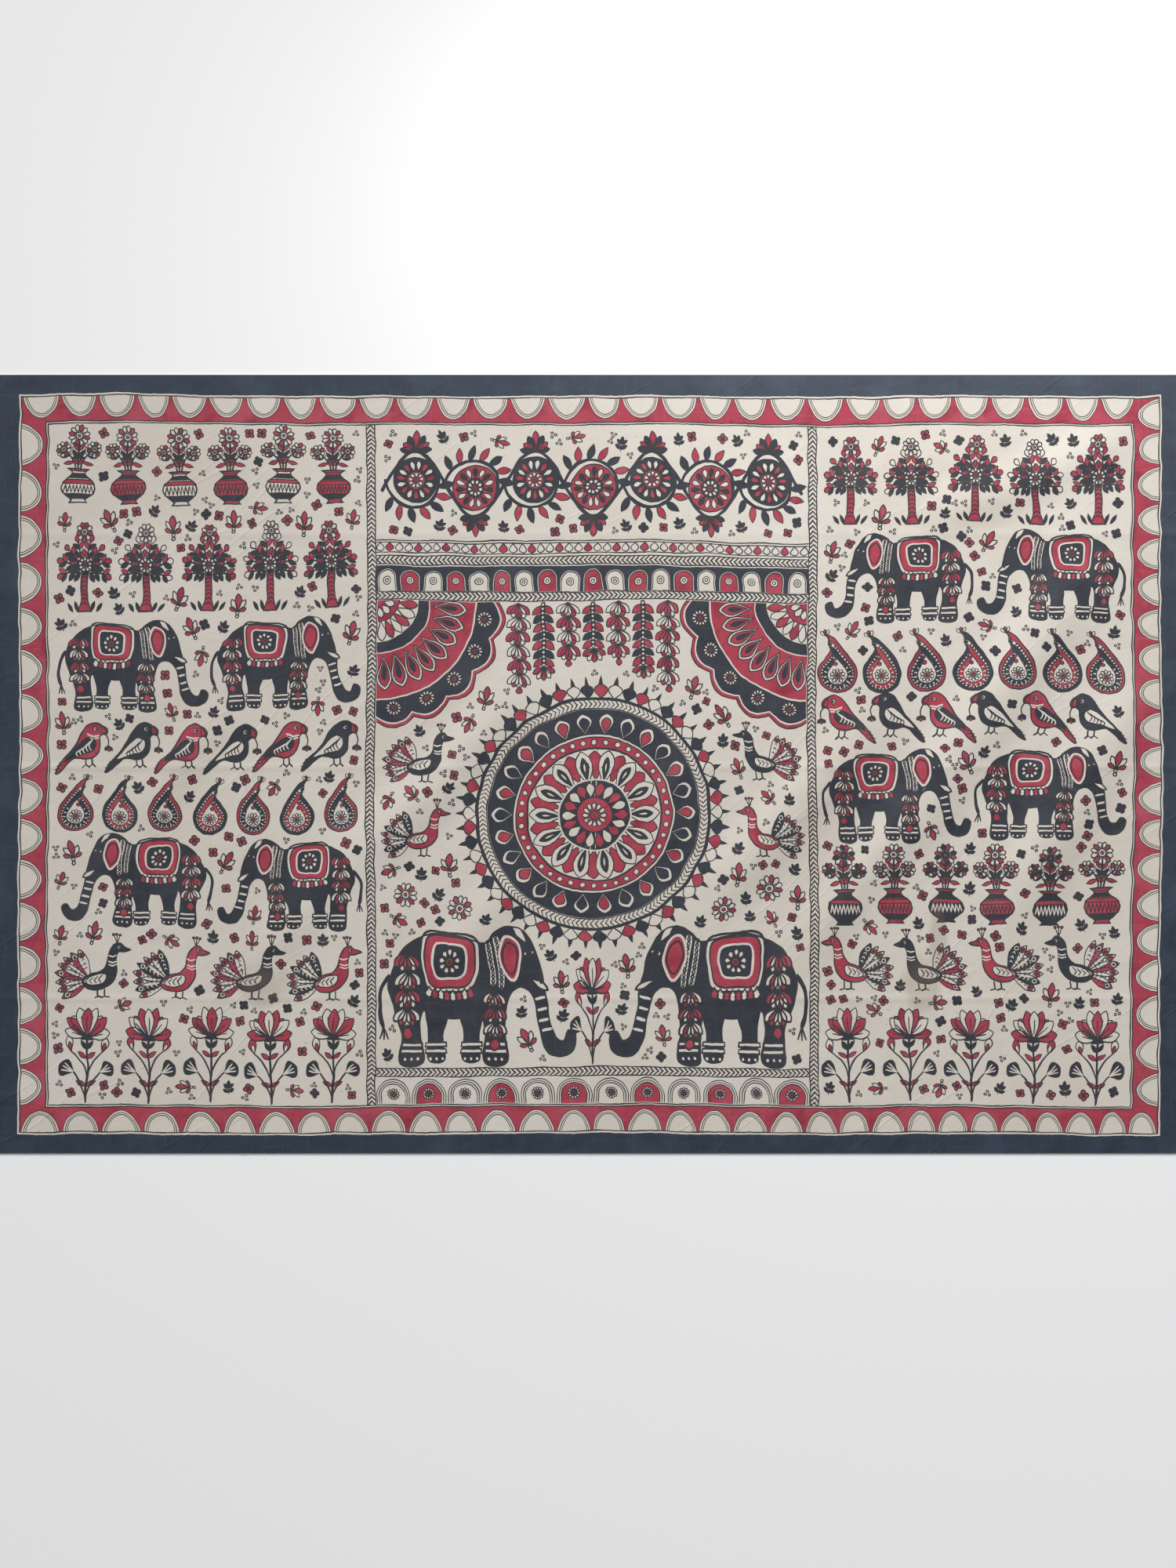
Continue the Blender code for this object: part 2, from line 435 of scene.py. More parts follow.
def smooth(points, closed=False):
    """A smooth curve through a few points."""
    points = np.asarray(points, float)
    if closed:
        points = np.vstack([points[-1:], points, points[:2]])
    else:
        points = np.vstack([2 * points[0] - points[1], points, 2 * points[-1] - points[-2]])
    found = []
    for a, b, c, d in zip(points, points[1:], points[2:], points[3:]):
        count = max(2, math.ceil(math.dist(b, c) / PEN_STEP))
        t = np.arange(count)[:, None] / count
        found.append(0.5 * (2 * b + (c - a) * t + (2 * a - 5 * b + 4 * c - d) * t**2
                            + (3 * b - a - 3 * c + d) * t**3))
    if not closed:
        found.append(points[-2:-1])
    return np.vstack(found)


def rounded(points):
    """A smooth outline through a few points."""
    return smooth(points, closed=True)


def turned(points, degrees, to=(0.0, 0.0)):
    """Points turned about the origin and moved."""
    angle = math.radians(degrees)
    turn = np.array([[math.cos(angle), math.sin(angle)], [-math.sin(angle), math.cos(angle)]])
    return np.asarray(points, float) @ turn + to


def inside(outline, spots):
    """True for each spot within an outline."""
    x, y = spots[:, :1], spots[:, 1:]
    ax, ay = outline[:, 0], outline[:, 1]
    bx, by = np.roll(ax, -1), np.roll(ay, -1)
    crosses = (ay > y) != (by > y)
    rise = np.where(by == ay, 1.0, by - ay)
    return (crosses & (x < (bx - ax) * (y - ay) / rise + ax)).sum(1) % 2 == 1


class Drawing:
    """A motif in millimetres: fills and pen lines, kept under the dye each is made in."""

    def __init__(self):
        self.coats = {}
        self.strokes = 0

    def keep(self, dye, points, faces):
        """Puts points and their triangles into a dye's coat."""
        held_points, held_faces = self.coats.setdefault(dye, ([], []))
        held_faces.append(np.asarray(faces, int) + sum(len(held) for held in held_points))
        held_points.append(points)

    def stroke(self, dye, points, faces, layer):
        """Lays one flat stroke at its layer's height."""
        lift = BASE_LIFT + layer * LAYER_LIFT + self.strokes % STROKE_ROUND * STROKE_LIFT
        self.keep(dye, np.column_stack([points, np.full(len(points), lift)]), faces)
        self.strokes += 1

    def fill(self, dye, outline, layer=1):
        """Fills an outline, with points inside it so that it can follow the cloth's waves."""
        edge = walk(outline, FILL_STEP, closed=True)
        low, high = edge.min(0), edge.max(0)
        columns = np.arange(low[0] + FILL_STEP / 2, high[0], FILL_STEP)
        rows = np.arange(low[1] + FILL_STEP / 2, high[1], FILL_STEP)
        within = np.stack(np.meshgrid(columns, rows), -1).reshape(-1, 2)
        if len(within):
            within = within[inside(edge, within)]
        spots = [Vector(spot) for spot in np.vstack([edge, within])]
        found = delaunay_2d_cdt(spots, [], [list(range(len(edge)))], 1, 1e-4)
        if found[2]:
            self.stroke(dye, np.array([tuple(spot) for spot in found[0]]), found[2], layer)
        return self

    def pen(self, line, width, closed=False, dye="ink", layer=PEN_LAYER):
        """A pen line: a ribbon that swells a little, with mitred turns and drawn-out ends."""
        line = walk(line, PEN_STEP, closed)
        after = np.roll(line, -1, 0) if closed else np.vstack([line[1:], 2 * line[-1:] - line[-2:-1]])
        ahead = after - line
        ahead /= np.linalg.norm(ahead, axis=1)[:, None]
        behind = np.roll(ahead, 1, 0)
        if not closed:
            behind[0] = ahead[0]
        side = np.column_stack([-(ahead + behind)[:, 1], (ahead + behind)[:, 0]])
        side /= np.maximum(np.linalg.norm(side, axis=1)[:, None], 1e-6)
        square = -side[:, 0] * ahead[:, 1] + side[:, 1] * ahead[:, 0]
        run = np.arange(len(line)) * PEN_STEP
        swell = 1 + PEN_SWELL * np.sin(run / PEN_SWELL_RUN + line[0].sum())
        half = width * PEN_WEIGHT / 2 * swell / np.clip(square, 0.5, 1)
        if not closed:
            half[[0, -1]] *= PEN_END
        points = np.vstack([line + side * half[:, None], line - side * half[:, None]])
        count = len(line)
        here = np.arange(count if closed else count - 1)
        there = (here + 1) % count
        faces = np.vstack([np.column_stack([here + count, there + count, there]),
                           np.column_stack([here + count, there, here])])
        self.stroke(dye, points, faces, layer)
        return self

    def shape(self, dye, outline, layer, width, line="ink"):
        """A filled outline with a pen line round it; without a dye the cotton stays bare."""
        if dye:
            self.fill(dye, outline, layer)
        return self.pen(outline, width, closed=True, dye=line, layer=max(PEN_LAYER, layer + 0.6))

    def add(self, other, to=(0, 0), over=0):
        """Draws another drawing's coats into this one, some layers higher."""
        for dye, (points, faces) in other.coats.items():
            self.keep(dye, np.vstack(points) + (*to, over * LAYER_LIFT), np.vstack(faces))
        return self


def motif_tree():
    """Geometry Nodes: one motif on every spot, turned and stretched as the spot says."""
    tree = bpy.data.node_groups.new("Repeat a motif", "GeometryNodeTree")
    for name, way, kind in (("Spots", "INPUT", "Geometry"), ("Motif", "INPUT", "Object"),
                            ("Dye", "INPUT", "Material"), ("Painted", "OUTPUT", "Geometry")):
        tree.interface.new_socket(name, in_out=way, socket_type="NodeSocket" + kind)
    given = node(tree, "NodeGroupInput").outputs
    motif = node(tree, "GeometryNodeObjectInfo", {"Object": given["Motif"], "As Instance": True})
    read = {name: node(tree, "GeometryNodeInputNamedAttribute", {"Name": name},
                       data_type="FLOAT").outputs[0] for name in ("turn", "wide", "tall")}
    angle = node(tree, "ShaderNodeCombineXYZ", {"Z": read["turn"]})
    scale = node(tree, "ShaderNodeCombineXYZ", {"X": read["wide"], "Y": read["tall"], "Z": 1.0})
    copies = node(tree, "GeometryNodeInstanceOnPoints",
                  {"Points": given["Spots"], "Instance": motif.outputs["Geometry"],
                   "Rotation": angle.outputs[0], "Scale": scale.outputs[0]})
    real = node(tree, "GeometryNodeRealizeInstances", {"Geometry": copies.outputs[0]})
    dyed = node(tree, "GeometryNodeSetMaterial",
                {"Geometry": real.outputs[0], "Material": given["Dye"]})
    node(tree, "NodeGroupOutput", {"Painted": dyed.outputs[0]})
    return tree


repeat_tree = motif_tree()
SOCKETS = {item.name: item.identifier for item in repeat_tree.interface.items_tree}
Spot = namedtuple("Spot", "x y turn wide tall", defaults=(0.0, 1.0, 1.0))


def repeated(points, faces, spots, dye):
    """Runs the tree on one coat of a motif, and returns its points and triangles."""
    motif_mesh = bpy.data.meshes.new("motif")
    motif_mesh.from_pydata(points.tolist(), [], faces.tolist())
    motif = bpy.data.objects.new("motif", motif_mesh)
    spot_mesh = bpy.data.meshes.new("spots")
    spot_mesh.from_pydata([(spot.x, spot.y, 0) for spot in spots], [], [])
    for name in ("turn", "wide", "tall"):
        values = [getattr(spot, name) for spot in spots]
        if name == "turn":
            values = np.radians(values)
        spot_mesh.attributes.new(name, "FLOAT", "POINT").data.foreach_set("value", values)
    carrier = bpy.data.objects.new("spots", spot_mesh)
    for made in (motif, carrier):
        bpy.context.scene.collection.objects.link(made)
    repeat = carrier.modifiers.new("Repeat a motif", "NODES")
    repeat.node_group = repeat_tree
    repeat[SOCKETS["Motif"]] = motif
    repeat[SOCKETS["Dye"]] = dye
    seen = carrier.evaluated_get(bpy.context.evaluated_depsgraph_get())
    flat = bpy.data.meshes.new_from_object(seen)
    all_points = np.empty(len(flat.vertices) * 3)
    flat.vertices.foreach_get("co", all_points)
    corners = np.empty(len(flat.loops), np.int32)
    flat.loops.foreach_get("vertex_index", corners)
    for mesh, owner in ((motif_mesh, motif), (spot_mesh, carrier)):
        bpy.data.objects.remove(owner)
        bpy.data.meshes.remove(mesh)
    bpy.data.meshes.remove(flat)
    return all_points.reshape(-1, 3), corners.reshape(-1, 3)


SWAY_WAVES, SWAY_SHARE = 5, 2.2
HandSway = namedtuple("HandSway", "much reach seed")
HAND_SWAYS = (HandSway(2.0, 430, 11), HandSway(0.75, 46, 12), HandSway(0.22, 11, 13))
UPWARD_SEED = 50
EDGE_HOLD = 16.0


def sway(x, y, reach, seed):
    """A smooth uneven shift, of about -1 to 1, that turns over about once a reach."""
    pick = np.random.default_rng(seed)
    total = np.zeros_like(x)
    for _ in range(SWAY_WAVES):
        angle, phase = pick.uniform(0, 2 * np.pi, 2)
        pace = 2 * np.pi / (reach * pick.uniform(0.7, 1.6))
        total += np.sin((x * np.cos(angle) + y * np.sin(angle)) * pace + phase)
    return total / SWAY_SHARE


def laid_on_cloth(points):
    """Moves flat points as an uneven hand would, and lays them on the cotton's waves."""
    x, y = points[:, 0], points[:, 1]
    from_edge = np.minimum(SHEET_WIDTH / 2 - abs(x), SHEET_TALL / 2 - abs(y))
    freedom = soft_rise(from_edge / EDGE_HOLD)
    for much, reach, seed in HAND_SWAYS:
        x = x + freedom * much * sway(points[:, 0], points[:, 1], reach, seed)
        y = y + freedom * much * sway(points[:, 0], points[:, 1], reach, seed + UPWARD_SEED)
    return np.column_stack([x, y, points[:, 2] + lie_height(x, y) + SHEET_THICK])


painted, drawn = [], []


def paint(name, work):
    """One painted piece: each drawing in the list, on its spots, laid on the cotton."""
    points, faces, dye_of_face = [], [], []
    count = 0
    for drawing, spots in work:
        for dye, (coat_points, coat_faces) in drawing.coats.items():
            found, corners = repeated(np.vstack(coat_points), np.vstack(coat_faces), spots, DYES[dye])
            points.append(found)
            faces.append(corners + count)
            dye_of_face.append(np.full(len(corners), list(DYES).index(dye)))
            count += len(found)
    points, faces = np.vstack(points), np.vstack(faces)
    a, b, c = (points[faces[:, k], :2] for k in range(3))
    leftward = (b - a)[:, 0] * (c - a)[:, 1] - (b - a)[:, 1] * (c - a)[:, 0] < 0
    faces[leftward] = faces[leftward][:, ::-1]
    piece = mesh_object(name, laid_on_cloth(points), faces, np.concatenate(dye_of_face), DYES.values())
    piece.data.shade_smooth()
    piece.visible_shadow = False  # dye has no thickness of its own to throw a shadow
    painted.append(piece)
    drawn.append(points[:, :2])
    return piece


def box(left, right, top, bottom):
    """The corners of an upright rectangle."""
    return ((left, top), (right, top), (right, bottom), (left, bottom))


HERE = [Spot(0, 0)]
BARE_EDGE = 0.3
band = Drawing()
outer_x, outer_y = SHEET_WIDTH / 2 - EDGE_WANDER - BARE_EDGE, SHEET_TALL / 2 - BARE_EDGE
outer = box(-outer_x, outer_x, outer_y, -outer_y)
inner = box(FIELD_LEFT, FIELD_RIGHT, FIELD_TOP, FIELD_BOTTOM)
for side in range(4):
    after = (side + 1) % 4
    band.fill("band", [outer[side], outer[after], inner[after], inner[side]])
dark_band = paint("dark_band", [(band, HERE)])
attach(dark_band, "root")

# The scalloped border: cream half-rounds left bare along each edge of the field, each ruled round
# three times with the pen, and madder red brushed in between them.
SCALLOP_PITCH, SCALLOP_DEEP, BORDER_DEEP = 48.0, 27.4, 32.0
EDGE_STRIP = 2.8
SCALLOP_INSETS = (0, 2.9, 5.2)
SCALLOP_ROUND, SCALLOP_GAP = 1.25, 2.0
SCALLOP_PEN, RULE_PEN = 0.62, 1.0
SCALLOP_UNEVEN = (0.93, 1.07)
ScallopRun = namedtuple("ScallopRun", "start_x start_y turn length count taper")
strip_left, strip_right = FIELD_LEFT + EDGE_STRIP, FIELD_RIGHT - EDGE_STRIP
strip_top, strip_bottom = FIELD_TOP - EDGE_STRIP, FIELD_BOTTOM + EDGE_STRIP
strip_wide, strip_tall = strip_right - strip_left, strip_top - strip_bottom
scallop_runs = (
    ScallopRun(strip_left, strip_top, 0, strip_wide - BORDER_DEEP, 30, 0.02),
    ScallopRun(strip_right, strip_top, -90, strip_tall - BORDER_DEEP, 20, -0.05),
    ScallopRun(strip_right, strip_bottom, 180, strip_wide, 32, -0.14),
    ScallopRun(strip_left, strip_bottom + BORDER_DEEP, 90, strip_tall - 2 * BORDER_DEEP, 16, -0.06),
)


def scallop_line(inset):
    """The half-round of one scallop, hanging from y = 0, set in by a few millimetres."""
    angle = np.linspace(0, np.pi, 25)
    return np.column_stack([(SCALLOP_PITCH / 2 - SCALLOP_GAP - inset) * np.cos(angle),
                            -(SCALLOP_DEEP - inset) * np.sin(angle).clip(0) ** SCALLOP_ROUND])


scallop = Drawing()
half_pitch = SCALLOP_PITCH / 2
scallop.fill("red", [*scallop_line(0)[::-1], (half_pitch, 0), (half_pitch, -BORDER_DEEP),
                     (-half_pitch, -BORDER_DEEP), (-half_pitch, 0)])
for inset in SCALLOP_INSETS:
    scallop.pen(scallop_line(inset), SCALLOP_PEN)
scallop_spots = []
pick = np.random.default_rng(4)
for run in scallop_runs:
    share = pick.uniform(*SCALLOP_UNEVEN, run.count)
    share = share * np.linspace(1 + run.taper, 1 - run.taper, run.count)
    ends = np.concatenate([[0], np.cumsum(share / share.sum() * run.length)])
    for low, high in zip(ends, ends[1:]):
        x, y = turned(((low + high) / 2, 0), run.turn, (run.start_x, run.start_y))
        scallop_spots.append(Spot(x, y, run.turn, (high - low) / SCALLOP_PITCH, 1.0))

# The ruled lines that stand the border off from the band and from the panels are part of it.
PANEL_RULE = 2.6
rules = Drawing()
for inset in (EDGE_STRIP, EDGE_STRIP + BORDER_DEEP, EDGE_STRIP + BORDER_DEEP + PANEL_RULE):
    rules.pen(box(FIELD_LEFT + inset, FIELD_RIGHT - inset, FIELD_TOP - inset, FIELD_BOTTOM + inset),
              RULE_PEN, closed=True)
scalloped_border = paint("scalloped_border", [(scallop, scallop_spots), (rules, HERE)])
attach(scalloped_border, "root")

# Herringbone strips: pen strokes set close between two ruled lines. Two upright strips part the
# field into three panels, and three level ones hold the rows of arches in the middle panel.
PANEL_TOP = FIELD_TOP - EDGE_STRIP - BORDER_DEEP - PANEL_RULE
PANEL_BOTTOM = FIELD_BOTTOM + EDGE_STRIP + BORDER_DEEP + PANEL_RULE
PANEL_LEFT = FIELD_LEFT + EDGE_STRIP + BORDER_DEEP + PANEL_RULE
PANEL_RIGHT = FIELD_RIGHT - EDGE_STRIP - BORDER_DEEP - PANEL_RULE
MIDDLE_LEFT, MIDDLE_RIGHT = -270.0, 282.0
STRIP_WIDE, CHEVRON_PITCH = 10.5, 6.0
CHEVRON_PEN, CHEVRON_LEAN = 1.2, 5
HIGH_STRIP, LOW_STRIP, FOOT_STRIP = 258.0, 212.5, -393.5
StripRun = namedtuple("StripRun", "start_x start_y turn length")
strip_runs = (
    StripRun(MIDDLE_LEFT - STRIP_WIDE / 2, PANEL_BOTTOM, 90, PANEL_TOP - PANEL_BOTTOM),
    StripRun(MIDDLE_RIGHT + STRIP_WIDE / 2, PANEL_BOTTOM, 90, PANEL_TOP - PANEL_BOTTOM),
    StripRun(MIDDLE_RIGHT, HIGH_STRIP, 180, MIDDLE_RIGHT - MIDDLE_LEFT),
    StripRun(MIDDLE_LEFT, LOW_STRIP, 0, MIDDLE_RIGHT - MIDDLE_LEFT),
    StripRun(MIDDLE_LEFT, FOOT_STRIP, 0, MIDDLE_RIGHT - MIDDLE_LEFT),
)
chevron = Drawing()
half_strip = STRIP_WIDE / 2
chevron.pen([(-3.0, half_strip - 0.4), (2.4, 0), (-3.0, 0.4 - half_strip)], CHEVRON_PEN)
chevron_spots = []
strip_rules = Drawing()
for run in strip_runs:
    start = (run.start_x, run.start_y)
    count = round(run.length / CHEVRON_PITCH)
    for k in range(count):
        x, y = turned(((k + 0.5) * run.length / count, 0), run.turn, start)
        chevron_spots.append(Spot(x, y, run.turn + pick.uniform(-CHEVRON_LEAN, CHEVRON_LEAN)))
    for side in (-half_strip, half_strip):
        strip_rules.pen(turned([(0, side), (run.length, side)], run.turn, start), RULE_PEN)
herringbone_strips = paint("herringbone_strips", [(chevron, chevron_spots), (strip_rules, HERE)])
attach(herringbone_strips, "root")

# Rows of round-topped arches, madder red and bare cotton by turns: the upper row on an iron-black
# ground with a ring in each, the lower row ruled round three times with a small rosette in each.
ARCH_PITCH, ARCH_WIDE, ARCH_TALL = 29.0, 24.0, 26.5
ARCH_EYE = (0, 12.5)
FOOT_ARCH_PITCH, FOOT_ARCH_WIDE, FOOT_ARCH_TALL = 46.0, 43.0, 31.5
LOW_GROUND, HIGH_GROUND = LOW_STRIP + half_strip + 1, HIGH_STRIP - half_strip - 2
FINE_PEN = 0.8


def arch_line(wide, tall, inset=0.0):
    """An arch standing on y = 0, open at its foot."""
    half = wide / 2 - inset
    crown = tall - inset - half
    angle = np.linspace(0, np.pi, 15)
    over = np.column_stack([half * np.cos(angle), crown + half * np.sin(angle)])
    return np.vstack([[(half, 0)], over, [(-half, 0)]])


def ring(radius, centre=(0, 0), count=18):
    """A circle."""
    angle = np.linspace(0, 2 * np.pi, count, endpoint=False)
    return np.column_stack([radius * np.cos(angle), radius * np.sin(angle)]) + centre


def both_sides(half, height, degrees, base):
    """A form with two like sides, from its half-widths and heights, leaning to the right."""
    side = np.column_stack([half, height])
    return turned(np.vstack([side * (-1, 1), side[-2:0:-1]]), -degrees, base)


def lobe(length, width, degrees, base=(0, 0)):
    """A petal with a point at its base and a round end, leaning to the right by some degrees."""
    share = np.sin(np.linspace(0, np.pi / 2, 8))
    return both_sides(width / 2 * np.sin(np.pi * share**1.5) ** 0.75, share * length, degrees, base)


def rosette(radius, petals):
    """A round flower of small bare petals about a ringed red eye."""
    made = Drawing()
    for k in range(petals):
        outline = lobe(radius * 0.62, 2 * math.pi * radius * 0.66 / petals, 360 * k / petals)
        made.shape("cotton", outline + turned((0, radius * 0.4), -360 * k / petals), 2, FINE_PEN)
    made.shape("red", ring(radius * 0.34, count=14), 3, FINE_PEN)
    return made.pen(ring(radius * 0.12, count=8), FINE_PEN, closed=True)


def arch_with_ring(dye):
    """One arch of the upper row: a bare rim, a pen line and a ring of two circles."""
    made = Drawing().fill("cotton", arch_line(ARCH_WIDE, ARCH_TALL), 2)
    made.fill(dye, arch_line(ARCH_WIDE, ARCH_TALL, 1.5), 3)
    made.pen(arch_line(ARCH_WIDE, ARCH_TALL, 1.4), 0.9)
    made.fill("cotton", ring(4.9, ARCH_EYE), 3.5)
    made.pen(ring(4.7, ARCH_EYE), FINE_PEN, closed=True)
    return made.pen(ring(2.0, ARCH_EYE, 10), FINE_PEN, closed=True)


def arch_with_rosette(dye):
    """One arch of the lower row."""
    made = Drawing()
    for inset in (0, 3.0, 5.6):
        made.pen(arch_line(FOOT_ARCH_WIDE, FOOT_ARCH_TALL, inset), FINE_PEN)
    made.fill(dye, arch_line(FOOT_ARCH_WIDE, FOOT_ARCH_TALL, 5.8))
    return made.add(rosette(7.5, 11), (0, 13))


arch_ground = Drawing().fill("black", box(MIDDLE_LEFT, MIDDLE_RIGHT, LOW_GROUND, HIGH_GROUND))
arch_rows = [(arch_ground, HERE)]
middle_wide = MIDDLE_RIGHT - MIDDLE_LEFT
for draw, pitch, foot in ((arch_with_ring, ARCH_PITCH, LOW_STRIP + half_strip + 1.5),
                          (arch_with_rosette, FOOT_ARCH_PITCH, PANEL_BOTTOM + 1.5)):
    count = int(middle_wide / pitch)
    gap = middle_wide / count
    for odd, dye in enumerate(("cotton", "red")):
        spots = [Spot(MIDDLE_LEFT + (k + 0.5) * gap, foot, 0, gap / pitch * pick.uniform(0.95, 1.04),
                      pick.uniform(0.96, 1.03)) for k in range(odd, count, 2)]
        arch_rows.append((draw(dye), spots))
rows_of_arches = paint("rows_of_arches", arch_rows)
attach(rows_of_arches, "root")

# A flowering creeper runs across the head of the middle panel: a waving stem with a curled shoot in
# each bend, which ends in a round flower. It grows above a rail of hanging petals.
BENDS, CREEPER_LEVEL, CREEPER_RISE, CREEPER_INSET = 7, 356.5, 42.0, 14.0
SHOOT_TURNS, SHOOT_LEAVES = 0.58, 7
STEM_PEN = 3.0
RAIL_FOOT, RAIL_PETALS = HIGH_STRIP + half_strip, 46


def leaf(length, width, degrees, base):
    """A leaf with both ends pointed, leaning to the right by some degrees."""
    share = np.linspace(0, 1, 8)
    return both_sides(width / 2 * np.sin(np.pi * share) ** 0.85, share * length, degrees, base)


def mirrored(rows):
    """Each row with its lean to one side, then to the other; a row that stands upright comes once."""
    return [(lean, *rest) for first, *rest in rows for lean in ((first, -first) if first else (0,))]


def petal_row(made, radius, length, count, dyes, layer, start=90, sweep=90, width=None):
    """Petals side by side along an arc about the origin, pointing outward."""
    width = width or 2 * math.pi * (radius + length * 0.62) * sweep / 360 / count * 0.96
    for k in range(count):
        degrees = start + (k + 0.5) * sweep / count
        base = turned((0, radius), -degrees)
        made.shape(dyes[k % len(dyes)], lobe(length, width, degrees, base), layer, 0.95)
    return made


def curled_shoot(ground, petals):
    """A shoot that curls clockwise into the middle of a bend, round the flower at its end."""
    made = Drawing()
    angle = np.linspace(0, 2 * np.pi * SHOOT_TURNS, 60)
    reach = np.linspace(41, 30, 60)
    curl = np.column_stack([-reach * np.cos(angle), -reach * np.sin(angle)])
    made.pen(curl, STEM_PEN, dye="black", layer=3)
    for k in range(SHOOT_LEAVES):
        at = curl[10 + k * 6]
        degrees = math.degrees(math.atan2(at[0], at[1]))
        shoot_leaf = leaf(22, 9.5, degrees - 30, at)
        made.shape(("black", "red")[k % 2], shoot_leaf, 1 + 0.5 * (k % 2), FINE_PEN)
    made.shape(ground, ring(30, count=44), 4, 1.2)
    petal_row(made, 13, 13.5, 15, petals, 5, 0, 360, width=6.6)
    made.shape("red" if ground == "black" else "black", ring(12.5, count=24), 6, 1.0)
    return made.add(rosette(10.5, 9), over=6)


creeper = Drawing()
for height in (4, 17, 20):
    creeper.pen([(MIDDLE_LEFT, RAIL_FOOT + height), (MIDDLE_RIGHT, RAIL_FOOT + height)], RULE_PEN)
for k in range(RAIL_PETALS):
    x = MIDDLE_LEFT + (k + 0.5) * middle_wide / RAIL_PETALS
    creeper.shape("red" if k % 3 == 1 else None, lobe(11, 10, 180, (x, RAIL_FOOT + 16.5)), 1, 0.9)
creeper_left = MIDDLE_LEFT + CREEPER_INSET
bend = (MIDDLE_RIGHT - CREEPER_INSET - creeper_left) / BENDS
stem_x = np.linspace(creeper_left - 6, creeper_left + BENDS * bend + 6, 150)
stem_y = CREEPER_LEVEL + CREEPER_RISE * np.sin((stem_x - creeper_left) / bend * np.pi)
creeper.pen(np.column_stack([stem_x, stem_y]), STEM_PEN, dye="black", layer=3)
for k in range(BENDS):
    crest = (creeper_left + (k + 0.5) * bend, CREEPER_LEVEL + (-1) ** k * CREEPER_RISE)
    for lean, length, dye in mirrored(((-82, 19, "black"), (-54, 19, "red"), (-27, 22, "black"),
                                       (0, 26, "red"))):
        creeper.shape(dye, lobe(length, 8.5, 180 * (k % 2) + lean, crest), 2, 0.9)
creeper_work = [(creeper, HERE)]
for odd, (ground, petals) in enumerate((("black", ("cotton", "red")), ("red", ("cotton", "black")))):
    up = (-1) ** odd
    shoot_spots = [Spot(creeper_left + (k + 0.5) * bend, CREEPER_LEVEL + 5 * up, 0, 0.93, 0.97 * up)
                   for k in range(odd, BENDS, 2)]
    creeper_work.append((curled_shoot(ground, petals), shoot_spots))
flowering_creeper = paint("flowering_creeper", creeper_work)
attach(flowering_creeper, "root")

# Quarter lotuses fill the two upper corners of the middle panel: iron black round a madder ground,
# with rows of petals and small flowers left bare, and a scalloped rim.
CORNER_REACH, CORNER_SCALLOPS, CORNER_SCALLOP_DEEP = 152.0, 5, 10.0
CORNER_TOP = LOW_STRIP - half_strip - 1.5


def quarter(radius, scalloped=False):
    """A quarter disc from a corner at the origin, below and to the right of it."""
    angle = np.linspace(0, np.pi / 2, 61)
    reach = np.full(61, radius)
    if scalloped:
        reach = reach + CORNER_SCALLOP_DEEP * abs(np.sin(CORNER_SCALLOPS * 2 * angle))
    return np.vstack([[(0, 0)], np.column_stack([reach * np.cos(angle), -reach * np.sin(angle)])])


def corner_lotus():
    """The corner piece, for the panel's upper left."""
    made = Drawing()
    for dye, inset, scalloped, layer in (("red", -1.5, True, 0.5), ("cotton", 3, True, 1.0),
                                         ("black", 5, True, 1.6), ("cotton", 26, False, 2.4),
                                         ("red", 28, False, 3)):
        made.fill(dye, quarter(CORNER_REACH - inset, scalloped), layer)
    made.pen(quarter(CORNER_REACH + 1.5, True)[1:], 1.1)
    for k in range(CORNER_SCALLOPS):
        spot = turned((0, CORNER_REACH - 14), -(90 + (k + 0.5) * 90 / CORNER_SCALLOPS))
        made.add(rosette(9.5, 12), spot, over=3)
    petal_row(made, 72, 42, 8, ("cotton",), 4, width=20)
    petal_row(made, 76, 34, 8, ("red",), 5, width=14)
    petal_row(made, 82, 20, 8, ("black",), 6, width=6)
    made.fill("black", quarter(67), 5)
    made.fill("cotton", quarter(52), 6)
    made.pen(quarter(67)[1:], 1.0, dye="cotton", layer=6)
    petal_row(made, 26, 25, 6, ("red", "cotton"), 7)
    made.fill("red", quarter(27), 8)
    made.pen(quarter(27)[1:], 1.0, layer=9)
    petal_row(made, 8, 14, 3, ("cotton",), 9)
    return made


corner_spots = [Spot(MIDDLE_LEFT + 1.5, CORNER_TOP), Spot(MIDDLE_RIGHT - 1.5, CORNER_TOP, 0, -1.0)]
corner_pair = paint("corner_lotuses", [(corner_lotus(), corner_spots)])
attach(corner_pair, "root")

# Garlands of fan-shaped flowers hang from the strip between the corners, bare and madder red by
# turns, with strings of long leaves between them.
FAN_PETALS, LEAF_STEP, BEAD_STEP = 5, 11, 5.4


def fan(length, reach, dyes):
    """A flower of petals spread downward like a fan."""
    made = Drawing()
    for k in range(FAN_PETALS):
        degrees = 180 + reach * (2 * k / (FAN_PETALS - 1) - 1)
        made.shape(dyes[k % 2], lobe(length, length * 2.3 / FAN_PETALS, degrees), 2, 0.95)
    return made


def garland(count, length, drop, lead):
    """A string of fans hanging from the origin."""
    dyes = ("cotton", "red") if lead == "cotton" else ("red", "cotton")
    made = Drawing()
    for k in range(count - 1, -1, -1):
        made.add(fan(length, 46, dyes if k % 2 else dyes[::-1]), (0, -k * drop), over=0.7 * (k % 2))
    return made.shape("red", lobe(10, 8, 180, (0, -count * drop)), 2, 0.9)


